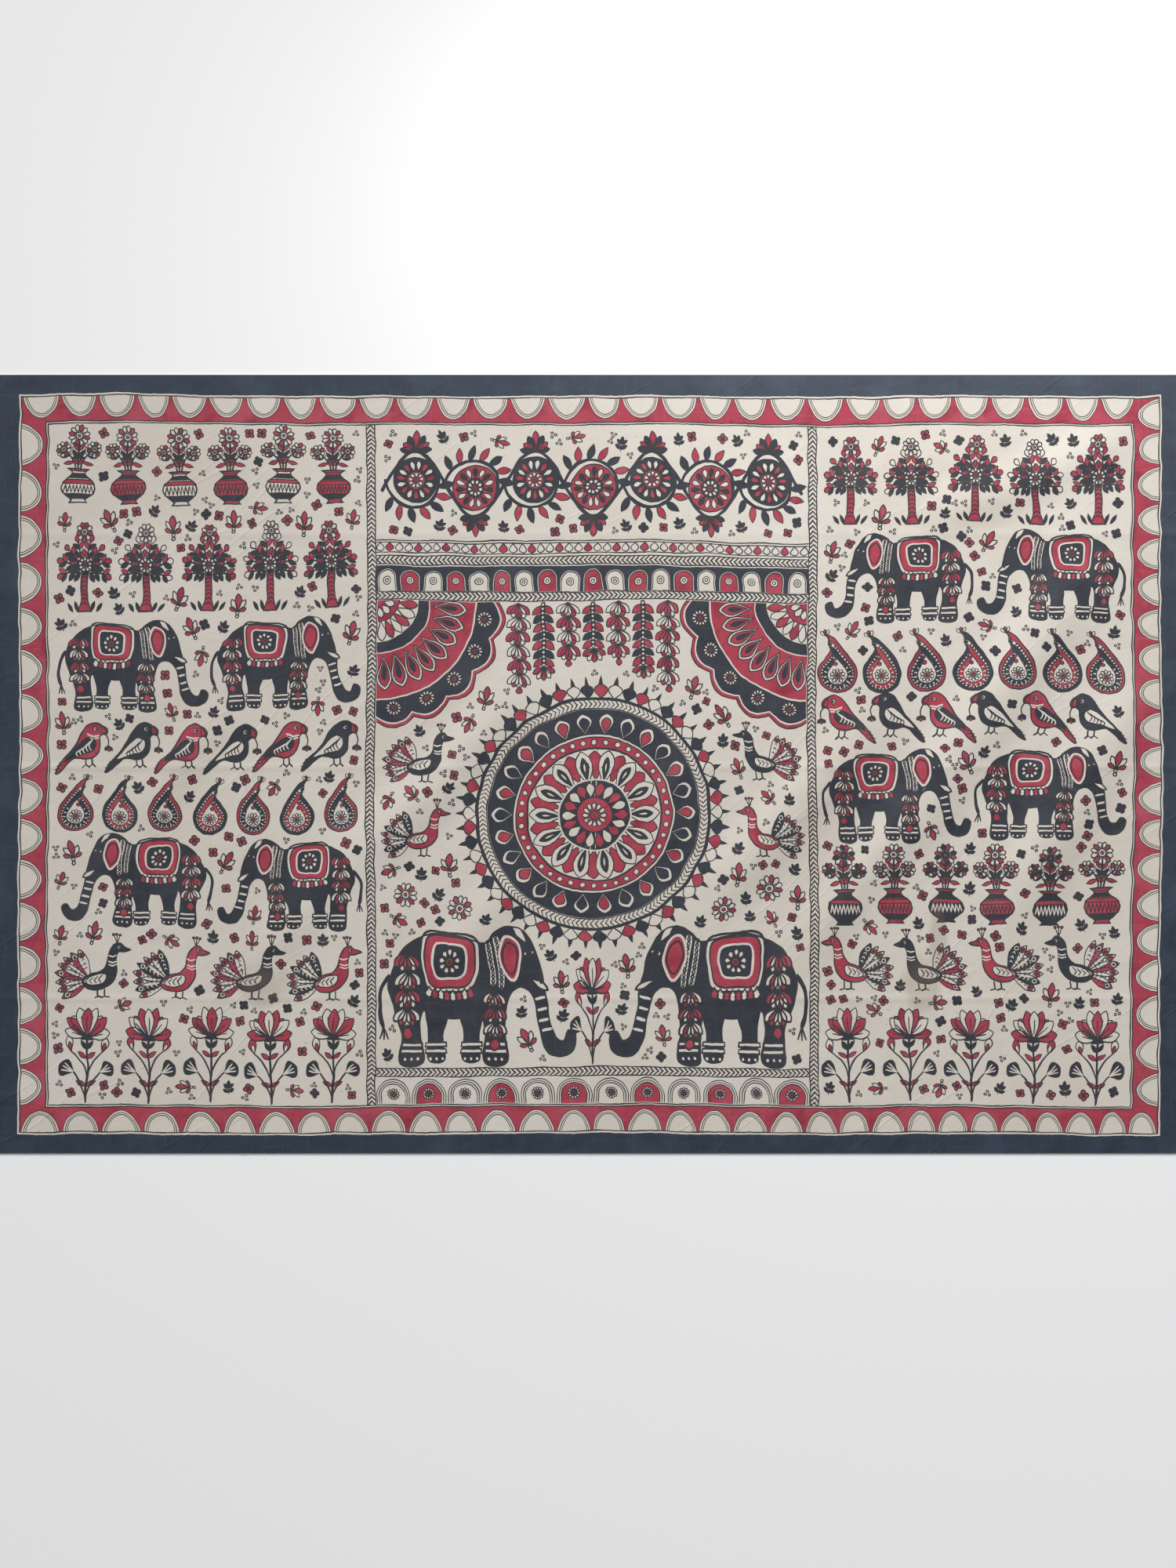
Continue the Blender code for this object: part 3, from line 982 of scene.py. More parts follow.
def leaf_string(steps):
    """A beaded cord hung with pairs of long leaves, with a tuft of petals at its foot."""
    made = Drawing()
    for k in range(steps):
        for side in (-1, 1):
            pair = leaf(17, 8.4, side * 128, (0, -5 - LEAF_STEP * k))
            made.shape(("red", "black")[k % 2], pair, 1 + 0.5 * (k % 2), 0.9)
    made.pen([(0, 0), (0, -LEAF_STEP * steps - 4)], 4.2, layer=4)
    for k in range(2 * steps + 1):
        made.fill("cotton", ring(1.5, (0, -3 - BEAD_STEP * k), 7), 5.5)
    return made.add(fan(16, 62, ("red", "cotton")), (0, -LEAF_STEP * steps - 5), over=4)


Hanging = namedtuple("Hanging", "x count lead", defaults=("red",))
GARLANDS = (Hanging(-90, 6, "cotton"), Hanging(-26, 4), Hanging(38, 4), Hanging(102, 6, "cotton"))
LEAF_STRINGS = (Hanging(-58, 7), Hanging(6, 5), Hanging(70, 7))
garland_work = []
for x, count, lead in GARLANDS:
    garland_work.append((garland(count, 20, 17.5, lead), [Spot(x, CORNER_TOP - 1)]))
for x, count, _ in LEAF_STRINGS:
    garland_work.append((leaf_string(count), [Spot(x, CORNER_TOP)]))
fan_garlands = paint("fan_garlands", garland_work)
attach(fan_garlands, "root")

# The great lotus in the middle: rings of petals, herringbone and beads about a rosette, pen-drawn
# on bare cotton, iron black and madder.
LOTUS_MIDDLE = (6.0, -62.0)
RIM_PETALS, RIM_CHEVRONS, LOTUS_BEADS = 54, 150, 40


def great_lotus():
    """The round flower, from its rim inward."""
    made = Drawing()
    for k in range(RIM_PETALS):
        degrees = 360 * (k + 0.5) / RIM_PETALS
        made.fill("black", leaf(33, 7.5, degrees, turned((0, 141), -degrees)), 0.3)
    petal_row(made, 147, 17, RIM_PETALS, ("red", "cotton", "black"), 1, 0, 360)
    made.fill("black", ring(148.5, count=96), 2)
    made.fill("cotton", ring(145, count=96), 2.5)
    for radius in (145, 134):
        made.pen(ring(radius, count=96), 1.0, closed=True)
    for k in range(RIM_CHEVRONS):
        mark = [(-2.2, 134.8), (2.0, 139.5), (-2.2, 144.2)]
        made.pen(turned(mark, -360 * k / RIM_CHEVRONS), 0.95)
    made.fill("black", ring(133, count=90), 3)
    petal_row(made, 101, 27, 26, ("cotton",), 4, 0, 360, width=20)
    petal_row(made, 104, 19, 26, ("red", "black"), 5, 0, 360, width=13)
    made.fill("cotton", ring(101, count=72), 5)
    made.pen(ring(101, count=72), 1.0, closed=True, layer=6)
    made.fill("red", ring(97.5, count=72), 5.5)
    made.pen(ring(97.5, count=72), 1.0, closed=True, layer=6)
    for k in range(LOTUS_BEADS):
        made.shape("cotton", ring(3.4, turned((0, 91.5), 360 / LOTUS_BEADS * k), 9), 6.5, FINE_PEN)
    made.fill("black", ring(85.5, count=64), 6.3)
    made.fill("cotton", ring(83, count=64), 6.6)
    petal_row(made, 44, 37, 14, ("red",), 7.2, 180 / 14, 360, width=20)
    petal_row(made, 38, 44, 14, ("cotton",), 8.2, 0, 360, width=21)
    petal_row(made, 44, 30, 14, ("black",), 9.2, 0, 360, width=9)
    petal_row(made, 52, 16, 14, ("cotton",), 10.2, 0, 360, width=3.6)
    made.fill("cotton", ring(46, count=40), 10.5)
    made.fill("black", ring(44, count=40), 11)
    petal_row(made, 22, 19, 18, ("red", "cotton"), 11.6, 0, 360)
    made.fill("red", ring(22, count=30), 12.4)
    made.pen(ring(22, count=30), 1.0, closed=True, layer=13)
    return made.add(rosette(15, 12), over=13)


great_lotus_piece = paint("great_lotus", [(great_lotus(), [Spot(*LOTUS_MIDDLE)])])
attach(great_lotus_piece, "root")

# Elephants in file: solid iron black, with saddle cloth, collar, anklets and garlands left bare and
# touched with madder. Two face each other under the great lotus, and four walk in each side panel.
ELEPHANT = (
    (10, 66), (22, 84), (44, 93), (68, 92), (88, 87), (97, 94), (109, 99), (122, 95), (131, 82),
    (136, 66), (140, 48), (143, 30), (148, 18), (155, 16), (159, 23), (165, 20), (163, 10), (154, 5),
    (143, 7),
    (136, 18), (133, 34), (129, 48), (121, 55), (112, 53), (107, 42), (105, 22), (107, 1), (89, 0),
    (89, 22), (84, 36), (66, 33), (48, 34), (36, 38), (34, 22), (36, 1), (18, 0), (18, 22), (12, 40),
    (7, 54),
)
FAR_LEGS = (((38, 42), (41, 22), (40, 2), (55, 2), (54, 20), (58, 40)),
            ((68, 42), (70, 22), (70, 2), (85, 2), (84, 20), (88, 42)))
LEG_MIDDLES = (27, 47.5, 77.5, 98)
SADDLE, SADDLE_MIDDLE = ((36, 91), (58, 94.5), (83, 88), (80, 56), (58, 52), (39, 56)), (58, 74)
EAR, EAR_MIDDLE = ((106, 92), (116, 88), (119, 74), (113, 60), (105, 66), (101, 80)), (110, 77)
COLLARS = (((91, 88), (94, 72), (96, 56)), ((98, 92), (101, 76), (103, 54)))
TAIL = ((8, 64), (0, 52), (0, 36), (3, 26))
HEAD_CLOTH = ((112, 99), (119, 97), (123, 88), (115, 93))


def shrunk(points, share, middle):
    """Points drawn in towards a middle."""
    return (np.asarray(points, float) - middle) * share + middle


def bent(length, lean, curl, base):
    """A stem that leaves at a lean from upright, in degrees, and curls on as it goes."""
    steps = max(3, round(length / PEN_STEP))
    angle = np.radians(lean + curl * np.linspace(0, 1, steps))
    moves = np.column_stack([np.sin(angle), np.cos(angle)]) * length / steps
    return np.vstack([base, np.asarray(base, float) + np.cumsum(moves, 0)])


def elephant():
    """One elephant walking to the right, from its rump at x = 0 to its trunk."""
    made = Drawing()
    for leg in FAR_LEGS:
        made.fill("black", rounded(leg), 1)
    made.fill("black", rounded(ELEPHANT), 2)
    made.pen(rounded(ELEPHANT), 1.1, closed=True)
    for middle in LEG_MIDDLES:
        for height in (7, 12):
            anklet = ((-9, 0), (9, 0), (8.6, 3), (-8.6, 3))
            made.shape("cotton", np.array(anklet) + (middle, height), 3, FINE_PEN)
        for k in (-1, 0, 1):
            made.shape("cotton", ring(1.7, (middle + 5.2 * k, 3), 7), 3, 0.7)
    for share, dye, layer, width, line in ((1, "cotton", 3, 1.15, "ink"),
                                           (0.86, "red", 4, 0.9, "ink"),
                                           (0.58, "black", 5, 1.2, "cotton")):
        saddle = rounded(shrunk(SADDLE, share, SADDLE_MIDDLE))
        made.shape(dye, saddle, layer, width, line)
    made.add(rosette(9, 9), (59, 73.5), over=4)
    for k in range(8):
        tassel = lobe(8.5, 6.2, 180, (41.5 + 5 * k, 55.5 - 2.5 * math.sin(k * 0.42)))
        made.shape(("cotton", "red")[k % 2], tassel, 4, FINE_PEN)
    for collar in COLLARS:
        made.pen(smooth(collar), 3.4, dye="cotton", layer=4)
        for spot in walk(smooth(collar), 4.4):
            made.pen(ring(1.2, spot, 6), FINE_PEN, closed=True, layer=5)
    made.add(garland(3, 13, 11, "red"), (97, 52), over=3)
    made.add(garland(4, 15, 13, "cotton"), (23, 80), over=3)
    ear = rounded(EAR)
    made.shape("red", ear, 6, 1.3, "cotton")
    made.pen(shrunk(ear, 0.72, EAR_MIDDLE), 1.0, closed=True, layer=8)
    made.shape("cotton", leaf(10, 5, 78, (121, 79)), 5, 0.9)
    made.pen(ring(1.3, (126, 80), 6), 1.6, closed=True, layer=7)
    made.shape("cotton", lobe(17, 5, 118, (127, 61)), 5, 1.0)
    for height, reach in ((46, 134.5), (38, 137), (30, 138.6), (23, 141)):
        made.pen([(reach - 4.6, height), (reach + 4.6, height + 2)], 1.3, dye="cotton", layer=4)
    made.shape("cotton", smooth(HEAD_CLOTH), 5, FINE_PEN)
    made.pen(smooth(TAIL), 2.4, dye="black", layer=3)
    for degrees in (160, 180, 200):
        made.pen(bent(10, degrees, 0, (3, 27)), 1.1)
    return made


# Two great ones in the middle, then the left panel's four and the right panel's four. A width below
# nothing turns an elephant to the left.
ELEPHANT_SPOTS = (Spot(-264, -382, 0, 1.51, 1.77), Spot(276, -382, 0, -1.51, 1.77),
                  Spot(-676, 70, 0, 1.16, 1.16), Spot(-478, 72, 0, 1.14, 1.15),
                  Spot(-482, -207, 0, -1.15, 1.17), Spot(-288, -209, 0, -1.13, 1.15),
                  Spot(489, 182, 0, -1.12, 1.15), Spot(683, 184, 0, -1.13, 1.16),
                  Spot(302, -98, 0, 1.15, 1.15), Spot(497, -96, 0, 1.13, 1.16))
elephants = paint("elephants", [(elephant(), ELEPHANT_SPOTS)])
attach(elephants, "root")

# Pots of flowers, drawn side by side at the head of the left panel and low in the right one: a round
# pot with painted bands, three stems set with leaves, and a daisy on each.
POT_PROFILE = ((0, 11), (3, 8), (6, 11), (13, 20), (20, 23), (28, 21), (34, 13), (37, 9), (41, 9),
               (44, 14))
POT_BANDS = ((5, 12, "black"), (26, 31, "red"), (33, 38, "black"), (41, 44, "red"))
MotifRow = namedtuple("MotifRow", "x y count pitch wide tall first", defaults=(0,))
LEFT_POTS, RIGHT_POTS = MotifRow(-652, 331, 6, 66, 0.97, 0.97), MotifRow(327, -202, 6, 66, 0.97, 0.97)
TALL_UNEVEN = (0.97, 1.02)


def by_turns(drawings, rows, lean=2, rise=(-2, 2), stretch=None):
    """Two drawings by turns along rows, set, leant and stretched as unevenly as a hand does. A row
    whose first is 1 begins with the second drawing, and a width below nothing faces left."""
    work = []
    for turn, drawing in enumerate(drawings):
        spots = []
        for row in rows:
            for k in range((turn + row.first) % 2, row.count, 2):
                y = row.y + pick.uniform(*rise)
                degrees = pick.uniform(-lean, lean)
                tall = row.tall * pick.uniform(*stretch) if stretch else row.tall
                spots.append(Spot(row.x + row.pitch * k, y, degrees, row.wide, tall))
        work.append((drawing, spots))
    return work


def pot_patch(low, high):
    """Part of the pot's outline, between two heights."""
    up = np.linspace(low, high, 14)
    down = np.linspace(high, low, 14)
    half_up, half_down = (np.interp(heights, *np.transpose(POT_PROFILE)) for heights in (up, down))
    return np.vstack([np.column_stack([half_up, up]), np.column_stack([-half_down, down])])


def daisy(radius, petals, dyes=("red", "cotton", "cotton")):
    """A round flower of long petals about a ringed eye."""
    made = Drawing()
    petal_row(made, radius * 0.34, radius * 0.66, petals, dyes, 2, 0, 360)
    made.shape(dyes[-1], ring(radius * 0.34, count=12), 3, 0.9)
    return made.shape("red", ring(radius * 0.15, count=8), 4, FINE_PEN)


def flowering_pot(body, petals, line="ink"):
    """One pot of flowers, standing on y = 0, its pattern drawn in the line's dye."""
    made = Drawing()
    for side in (-1, 1):
        stem = bent(33, side * 6, side * 52, (side * 3, 43))
        made.pen(stem, 1.5)
        made.add(daisy(10, 9, petals), stem[-1], over=2)
        for share, length, dye, other in ((0.35, 14, "red", "black"), (0.62, 12, "black", None),
                                          (0.86, 9, "red", "black")):
            at = stem[int(share * len(stem))]
            made.shape(dye, leaf(length, 5.0, side * 104, at), 1, FINE_PEN)
            made.shape(other, leaf(length * 0.8, 4.2, side * -14, at), 1.6, FINE_PEN)
    made.pen([(0, 43), (0, 80)], 1.7)
    for height, dye in ((50, "red"), (59, "black"), (68, "red")):
        for side in (-1, 1):
            made.shape(dye, leaf(13, 4.8, side * 38, (0, height)), 2, FINE_PEN)
    made.add(daisy(14.5, 12, petals), (0, 88), over=2)
    made.shape(body, pot_patch(0, 44), 1, 1.3)
    for low, high, dye in POT_BANDS:
        made.shape(dye, pot_patch(low, high), 3, 0.9)
    x = np.linspace(-20, 20, 17)
    return made.pen(np.column_stack([x, np.where(np.arange(17) % 2, 24.5, 13.5)]), 0.95, dye=line)


bare_pot = flowering_pot("cotton", ("red", "cotton", "cotton"))
red_pot = flowering_pot("red", ("cotton", "red", "cotton"))
black_pot = flowering_pot("black", ("red", "cotton", "black"), "cotton")
pot_work = by_turns((bare_pot, red_pot), [LEFT_POTS], stretch=TALL_UNEVEN)
pot_work += by_turns((black_pot, red_pot), [RIGHT_POTS], stretch=TALL_UNEVEN)
pots_of_flowers = paint("pots_of_flowers", pot_work)
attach(pots_of_flowers, "root")

# Parrots in file, each with a sprig in its beak: madder red with an iron-black wing and iron black
# with a bare wing by turns, drawn round and barred with the pen.
PARROT = ((-31, 4), (-20, 16), (-10, 28), (-2, 42), (6, 52), (16, 56), (25, 52), (31, 43), (26, 40),
          (22, 36), (22, 28), (20, 18), (12, 10), (2, 8), (-8, 10), (-16, 8), (-30, -6), (-38, -10))
PARROT_WING = ((12, 36), (2, 34), (-10, 24), (-24, 8), (-6, 14), (10, 18), (16, 27))
PARROT_BEAK = ((25, 52), (32, 47), (31, 39), (25, 42))


def parrot(dye, wing):
    """One parrot facing right, standing on y = -4."""
    made = Drawing()
    made.shape(dye, rounded(PARROT), 1, 1.3)
    made.shape(wing, rounded(PARROT_WING), 2, 1.1)
    for k in range(5):
        bar = ((12 - 3.4 * k, 33 - 2.8 * k), (6 - 4 * k, 25 - 2 * k), (9 - 4.4 * k, 19 - 1.6 * k))
        made.pen(smooth(bar), 1.0, dye="cotton" if wing == "black" else "ink", layer=5)
    made.shape("cotton", ring(3.0, (17, 47), 9), 3, 0.9)
    made.pen(ring(0.8, (17.5, 47), 6), 1.2, closed=True, layer=5)
    made.shape("red", rounded(PARROT_BEAK), 3, 0.9)
    for k, height in enumerate((40, 37)):
        collar = [(5 + k, height), (14, height - 3.5), (22.5, height - 2)]
        made.pen(collar, 1.3, dye="cotton" if dye == "red" else "ink")
    for x in (2, 10):
        made.pen([(x, 9), (x + 1, 1), (x + 6, -3)], 1.4)
        made.pen([(x + 1, 1), (x - 4, -3)], 1.2)
    for k in range(3):
        made.pen([(-20 - 6 * k, 7 - 5 * k), (-33 - 3 * k, 4 - 4 * k)], 0.9)
    made.pen(smooth(((30, 41), (34, 32), (33, 24))), 1.1)
    for degrees, leaf_dye in ((180, "red"), (140, "black"), (220, "black")):
        made.shape(leaf_dye, lobe(8, 4.2, degrees, (33, 25)), 2, FINE_PEN)
    return made


PARROT_ROWS = (MotifRow(-645, -2, 6, 64, 0.98, 0.98), MotifRow(333, 34, 6, 62.5, -0.96, 0.96))
parrot_work = by_turns((parrot("red", "black"), parrot("black", "cotton")), PARROT_ROWS, lean=3)
parrots = paint("parrots", parrot_work)
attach(parrots, "root")

# Flowering trees in rows, brushed in madder red and iron black: a trunk barred with the pen, and a
# round head of branches set with leaves, with a bud at the end of each.
TREE_ROWS = (MotifRow(-642, 197, 5, 79, 0.95, 1.08), MotifRow(335, 308, 5, 79, 0.95, 1.08))
TRUNK = ((-9, 0), (-4.5, 12), (-4, 42), (4, 42), (4.5, 12), (9, 0))
BRANCH_LEANS = (-100, 100, -68, 68, -40, 40, -14, 14)


def flowering_tree(flower):
    """One tree, standing on y = 0."""
    made = Drawing()
    made.shape("red", TRUNK, 1, 1.2)
    for k in range(7):
        made.pen([(-5, 7 + 5 * k), (0, 10 + 5 * k), (5, 7 + 5 * k)], 1.0)
    for number, degrees in enumerate(BRANCH_LEANS):
        over = 1 + 0.5 * number
        branch = bent(40 - abs(degrees) * 0.13, degrees * 0.7, degrees * 0.36, (0, 42))
        made.pen(branch, 1.4)
        for share in (0.3, 0.55, 0.8):
            at = branch[int(share * len(branch))]
            for side in (-1, 1):
                dye = "black" if side * degrees > 0 else "red"
                tree_leaf = leaf(11.5, 5.6, degrees * 1.05 + side * 42, at)
                made.shape(dye, tree_leaf, over + 0.25 * (side + 1), FINE_PEN)
        made.shape(flower, lobe(10, 7, degrees * 1.15, branch[-1]), over + 0.4, 0.9)
    made.add(daisy(11, 9, (flower, "cotton")), (0, 92), over=5)
    made.add(rosette(8.5, 9), (0, 54), over=5)
    for x in (-16, -9, 9, 16):
        made.shape("black", leaf(12, 4, x * 2.4, (x, 0)), 2, FINE_PEN)
    return made


tree_work = by_turns((flowering_tree("red"), flowering_tree("cotton")), TREE_ROWS, stretch=TALL_UNEVEN)
flowering_trees = paint("flowering_trees", tree_work)
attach(flowering_trees, "root")

# Paisleys in rows, madder red and iron black by turns: curled drops drawn one inside another, each
# beaded round its rim, with a rosette and rays in its belly.
PAISLEY = ((15, 82), (4, 76), (-5, 64), (-15, 50), (-23, 36), (-26, 22), (-21, 8), (-9, -1), (7, -2),
           (20, 6), (26, 20), (25, 35), (17, 48), (10, 58), (9, 68))
PAISLEY_BELLY = (0, 21)


def paisley(outer, inner):
    """One paisley on y = 0, its tip curling to the right."""
    rim = rounded(PAISLEY)
    made = Drawing()
    made.shape(outer, rim, 1, 1.3)
    for layer, share, dye in ((2, 0.84, "cotton"), (3, 0.72, inner), (4.6, 0.5, "cotton")):
        made.shape(dye, shrunk(rim, share, PAISLEY_BELLY), layer, 0.95)
    for spot in walk(shrunk(rim, 0.78, PAISLEY_BELLY), 5.0, closed=True)[::2]:
        made.pen(ring(0.9, spot, 6), 0.9, closed=True, layer=4)
    for degrees in range(0, 360, 24):
        out = turned((0, 1), -degrees)
        made.pen([out * 14 + PAISLEY_BELLY, out * 18.2 + PAISLEY_BELLY], 1.0, dye="cotton", layer=5)
    made.add(rosette(10, 10), PAISLEY_BELLY, over=5)
    for height, wide in ((42, 5), (49, 3.6), (55, 2.6)):
        made.shape("red", ring(wide * 0.55, (0.14 * (height - 20), height - 3), 8), 6, FINE_PEN)
    for degrees, dye in ((0, "red"), (34, None), (-34, None)):
        made.shape(dye, lobe(10, 4.6, degrees + 12, (16, 80)), 1, FINE_PEN)
    return made


PAISLEY_ROWS = (MotifRow(-657, -86, 7, 57.5, 0.83, 0.7968), MotifRow(321, 93, 7, 56.4, -0.92, 0.8832))
paisley_work = by_turns((paisley("red", "black"), paisley("black", "red")), PAISLEY_ROWS, lean=3)
paisleys = paint("paisleys", paisley_work)
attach(paisleys, "root")

# Peacocks in file at the foot of the side panels, and two on each side of the great lotus. Each has
# its train half spread, as a fan of long petals with an eye in each.
PEACOCK = ((-8, 22), (4, 32), (18, 36), (26, 46), (29, 60), (34, 70), (42, 73), (48, 68), (57, 64),
           (48, 61), (41, 60), (39, 48), (38, 32), (30, 18), (16, 11), (0, 12))
PEACOCK_WING = ((24, 32), (10, 31), (-6, 22), (8, 17), (22, 21))
TRAIN_ROOT, CROWN = (4, 24), (38, 72)


def peacock(breast, train):
    """One peacock facing right, standing on y = 0."""
    made = Drawing()
    for k in range(8):
        degrees = -122 + 14.5 * k
        length = 50 - 1.6 * abs(k - 3)
        dye = train[k % len(train)]
        made.shape(dye, lobe(length, 12.5, degrees, TRAIN_ROOT), 1 + 0.5 * k, 1.0)
        eye = turned((0, length - 8), -degrees, TRAIN_ROOT)
        made.shape("red" if dye == "cotton" else "cotton", ring(3.9, eye, 10), 5, FINE_PEN)
        made.pen(ring(1.1, eye, 6), 1.3, closed=True, layer=6)
        for reach in (16, 22, 28, 34):
            barb = turned(((-2.2, reach), (0, reach + 2.4), (2.2, reach)), -degrees, TRAIN_ROOT)
            made.pen(barb, 0.9, dye="cotton" if dye == "black" else "ink", layer=5)
    made.shape(breast, rounded(PEACOCK), 6, 1.3)
    made.shape("cotton", rounded(PEACOCK_WING), 7, 1.0)
    for k in range(4):
        bar = [(20 - 6 * k, 31 - 1.6 * k), (15 - 6 * k, 25 - k), (18 - 6 * k, 20 - 0.4 * k)]
        made.pen(bar, 1.0, layer=8.5)
    for height in (44, 48, 56):
        made.pen([(28, height), (34, height - 2), (39.5, height)], 1.2, dye="cotton", layer=8)
    made.shape("cotton", ring(2.6, (42, 67), 8), 7, 0.9)
    made.pen(ring(0.6, (42.4, 67), 6), 1.2, closed=True, layer=8.5)
    for degrees in (-18, 2, 22):
        tip = turned((0, 13), -degrees, CROWN)
        made.pen([CROWN, tip], 1.0)
        made.shape("red", ring(1.7, tip, 7), 2, FINE_PEN)
    for x in (14, 23):
        made.pen([(x, 12), (x - 1, 2), (x + 6, 0)], 1.5)
        made.pen([(x - 1, 2), (x - 6, 0)], 1.2)
    return made


PEACOCK_ROWS = (MotifRow(-638, -300, 4, 98.5, 0.94, 0.94), MotifRow(347, -286, 4, 97, -0.92, 0.92, 1),
                MotifRow(-220, -22, 1, 0, 0.87, 0.87), MotifRow(-222, -120, 1, 0, 0.86, 0.86, 1),
                MotifRow(234, -20, 1, 0, -0.86, 0.86), MotifRow(236, -118, 1, 0, -0.87, 0.87, 1))
dark_peacock = peacock("black", ("red", "cotton", "cotton"))
red_peacock = peacock("red", ("cotton", "black", "cotton"))
peacocks = paint("peacocks", by_turns((dark_peacock, red_peacock), PEACOCK_ROWS))
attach(peacocks, "root")

# Standing lotuses fill the foot of each side panel and the gap between the two great elephants: an
# open flower on an upright stem, with a bud and a round leaf on each side.
LOTUS_ROWS = (MotifRow(-642, -432, 5, 79, 0.98, 1.10), MotifRow(332, -432, 5, 79, 0.98, 1.10))
LOTUS_CUP = (0, 76)


def standing_lotus(dyes):
    """One lotus plant, rooted at y = 0."""
    made = Drawing()
    made.pen([(0, 0), (1, 36), LOTUS_CUP], 2.0)
    for side in (-1, 1):
        stem = bent(36, side * 12, side * 34, (0, 4))
        made.pen(stem, 1.4)
        made.shape("black", lobe(19, 20, side * 62, stem[-1]), 2, 1.0)
        for degrees in (44, 62, 80):
            tip = turned((0, 15), -side * degrees, stem[-1])
            made.pen([stem[-1], tip], 1.0, dye="cotton", layer=5)
        stem = bent(36, side * 14, side * 40, (0, 30))
        made.pen(stem, 1.3)
        made.shape(dyes[0], lobe(17, 9.5, side * 20, stem[-1]), 3, 0.95)
        made.shape(dyes[1], lobe(11, 4.4, side * 20, stem[-1]), 5, FINE_PEN)
        for dye, length, width, lean, height in (("red", 13, 5, 66, 20), ("red", 13, 5, 58, 52),
                                                 ("black", 12, 4.5, 40, 62)):
            made.shape(dye, leaf(length, width, side * lean, (0, height)), 2, FINE_PEN)
    for layer, leans, length, dye in ((2, (-78, -39, 0, 39, 78), 30, dyes[0]),
                                      (4, np.linspace(-50, 50, 4), 33, dyes[1]),
                                      (6, (-18, 18), 35, dyes[0]), (8, (0,), 33, dyes[1])):
        for degrees in leans:
            made.shape(dye, lobe(length, 13, degrees, LOTUS_CUP), layer, 1.0)
            vein = turned(((0, 6), (0, length * 0.7)), -degrees, LOTUS_CUP)
            made.pen(vein, 0.9, layer=layer + 0.8)
    return made.shape("black", [(-8, 73), (8, 73), (5, 79), (-5, 79)], 9, 0.9)


lotus_drawings = (standing_lotus(("cotton", "red")), standing_lotus(("red", "cotton")))
lotus_work = by_turns(lotus_drawings, LOTUS_ROWS, rise=(-1, 2))
lotus_work[1][1].append(Spot(6, -386, 0, 0.78, 1.27))  # the one between the great elephants
standing_lotuses = paint("standing_lotuses", lotus_work)
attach(standing_lotuses, "root")

# Sprays of petals and small flowers fill the bare places that the motifs leave in the panels, set
# one by one wherever there is room, as the painter does last of all.
CELL, MARGIN, FILL_RIM = 2.0, 2.5, 5.0
FILLER_SIZES = (0.93, 1.04)
PANELS = ((PANEL_LEFT, MIDDLE_LEFT - STRIP_WIDE), (MIDDLE_LEFT, MIDDLE_RIGHT),
          (MIDDLE_RIGHT + STRIP_WIDE, PANEL_RIGHT))


def petal_spray():
    """A spray of five petals, madder red and bare, over two small rings; its middle at y = 0."""
    made = Drawing()
    for degrees, length, width, dye in mirrored(((64, 12, 5.6, "red"), (31, 18, 6.4, None),
                                                 (0, 23, 8.4, "red"))):
        made.shape(dye, lobe(length, width, degrees, (0, -8)), 1 + 0.3 * (degrees == 0), 0.95)
    for height in (-10, -14.5):
        made.shape("cotton", ring(2.1, (0, height), 8), 3, 0.95)
    return made


def cross_flower(dye):
    """Four petals and a dot."""
    made = Drawing()
    for degrees in (45, 135, 225, 315):
        made.shape(dye, lobe(6.4, 5.4, degrees), 1, 0.9)
    return made.shape("red", ring(1.8, count=6), 3, FINE_PEN)


def black_sprig():
    """A short stem with five black leaves."""
    made = Drawing().pen([(0, -8), (0, 3)], 1.0)
    for degrees, height in mirrored(((58, -5), (46, 0), (0, 2))):
        made.shape("black", leaf(8.5, 4.2, degrees, (0, height)), 1, 0.7)
    return made


def three_dots():
    """Three small rings."""
    made = Drawing()
    for degrees in (0, 120, 240):
        made.pen(ring(1.5, turned((0, 2.9), degrees), 6), 0.9, closed=True)
    return made


taken = np.ones((int(SHEET_TALL / CELL) + 2, int(SHEET_WIDTH / CELL) + 2), bool)


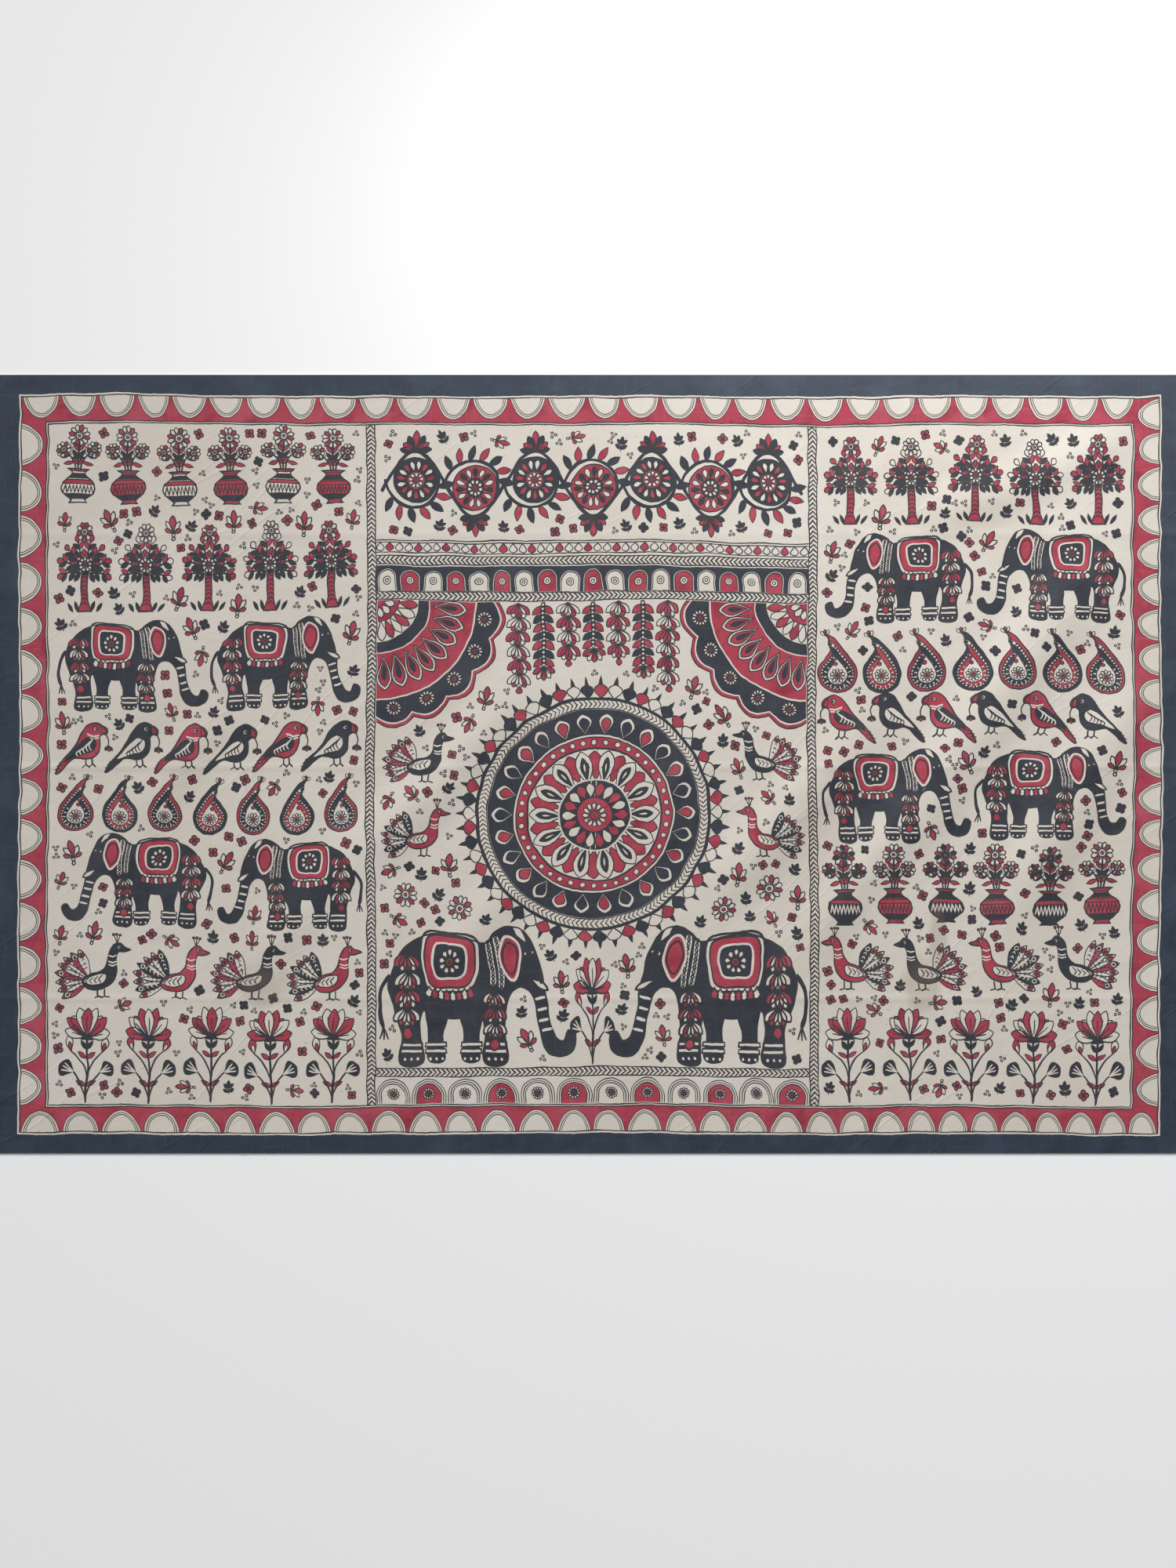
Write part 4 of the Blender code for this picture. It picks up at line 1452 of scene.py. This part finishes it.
def cells(points):
    """Rows and columns of the raster that points fall in."""
    across = np.clip(((points[:, 0] + SHEET_WIDTH / 2) / CELL).astype(int), 0, taken.shape[1] - 1)
    up = np.clip(((points[:, 1] + SHEET_TALL / 2) / CELL).astype(int), 0, taken.shape[0] - 1)
    return up, across


for left, right in PANELS:
    rows, columns = cells(np.array([(left + FILL_RIM, PANEL_BOTTOM + FILL_RIM),
                                    (right - FILL_RIM, PANEL_TOP - FILL_RIM)]))
    taken[rows[0]:rows[1], columns[0]:columns[1]] = False
steps = np.arange(-MARGIN, MARGIN + 0.1, CELL / 2)
covered_points = np.vstack(drawn[2:])  # all that is drawn within the band and the border
for across in steps:
    for up in steps:
        taken[cells(covered_points + (across, up))] = True

# Each filler's drawing and size, the room it needs, how often a place is tried, and its lean.
Filler = namedtuple("Filler", "drawing size half_wide half_tall tries lean left right",
                    defaults=(PANEL_LEFT, PANEL_RIGHT))
FILLERS = (
    Filler(daisy(16.5, 12), 1.0, 18, 18, 3000, 180, MIDDLE_LEFT, MIDDLE_RIGHT),
    Filler(petal_spray(), 1.0, 10.5, 18, 16000, 32),
    Filler(petal_spray(), 0.8, 8.6, 14.5, 14000, 180),
    Filler(black_sprig(), 1.0, 7.5, 9.5, 9000, 40),
    Filler(cross_flower("black"), 1.0, 6.2, 6.2, 2500, 45),
    Filler(cross_flower("red"), 1.0, 6.2, 6.2, 12000, 45),
    Filler(three_dots(), 1.0, 4.0, 4.0, 9000, 60),
)
filler_work = []
for filler in FILLERS:
    grid_x = np.arange(-filler.half_wide, filler.half_wide + 0.1, CELL * 0.9)
    grid_y = np.arange(-filler.half_tall, filler.half_tall + 0.1, CELL * 0.9)
    patch = np.stack(np.meshgrid(grid_x, grid_y), -1).reshape(-1, 2)
    spots = []
    for _ in range(filler.tries):
        place = (pick.uniform(filler.left, filler.right), pick.uniform(PANEL_BOTTOM, PANEL_TOP))
        lean = pick.uniform(-filler.lean, filler.lean)
        room = cells(turned(patch, lean) + place)
        if not taken[room].any():
            taken[room] = True
            size = filler.size * pick.uniform(*FILLER_SIZES)
            spots.append(Spot(*place, lean, size, size))
    filler_work.append((filler.drawing, spots))
filler_flowers = paint("filler_flowers", filler_work)
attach(filler_flowers, "root")
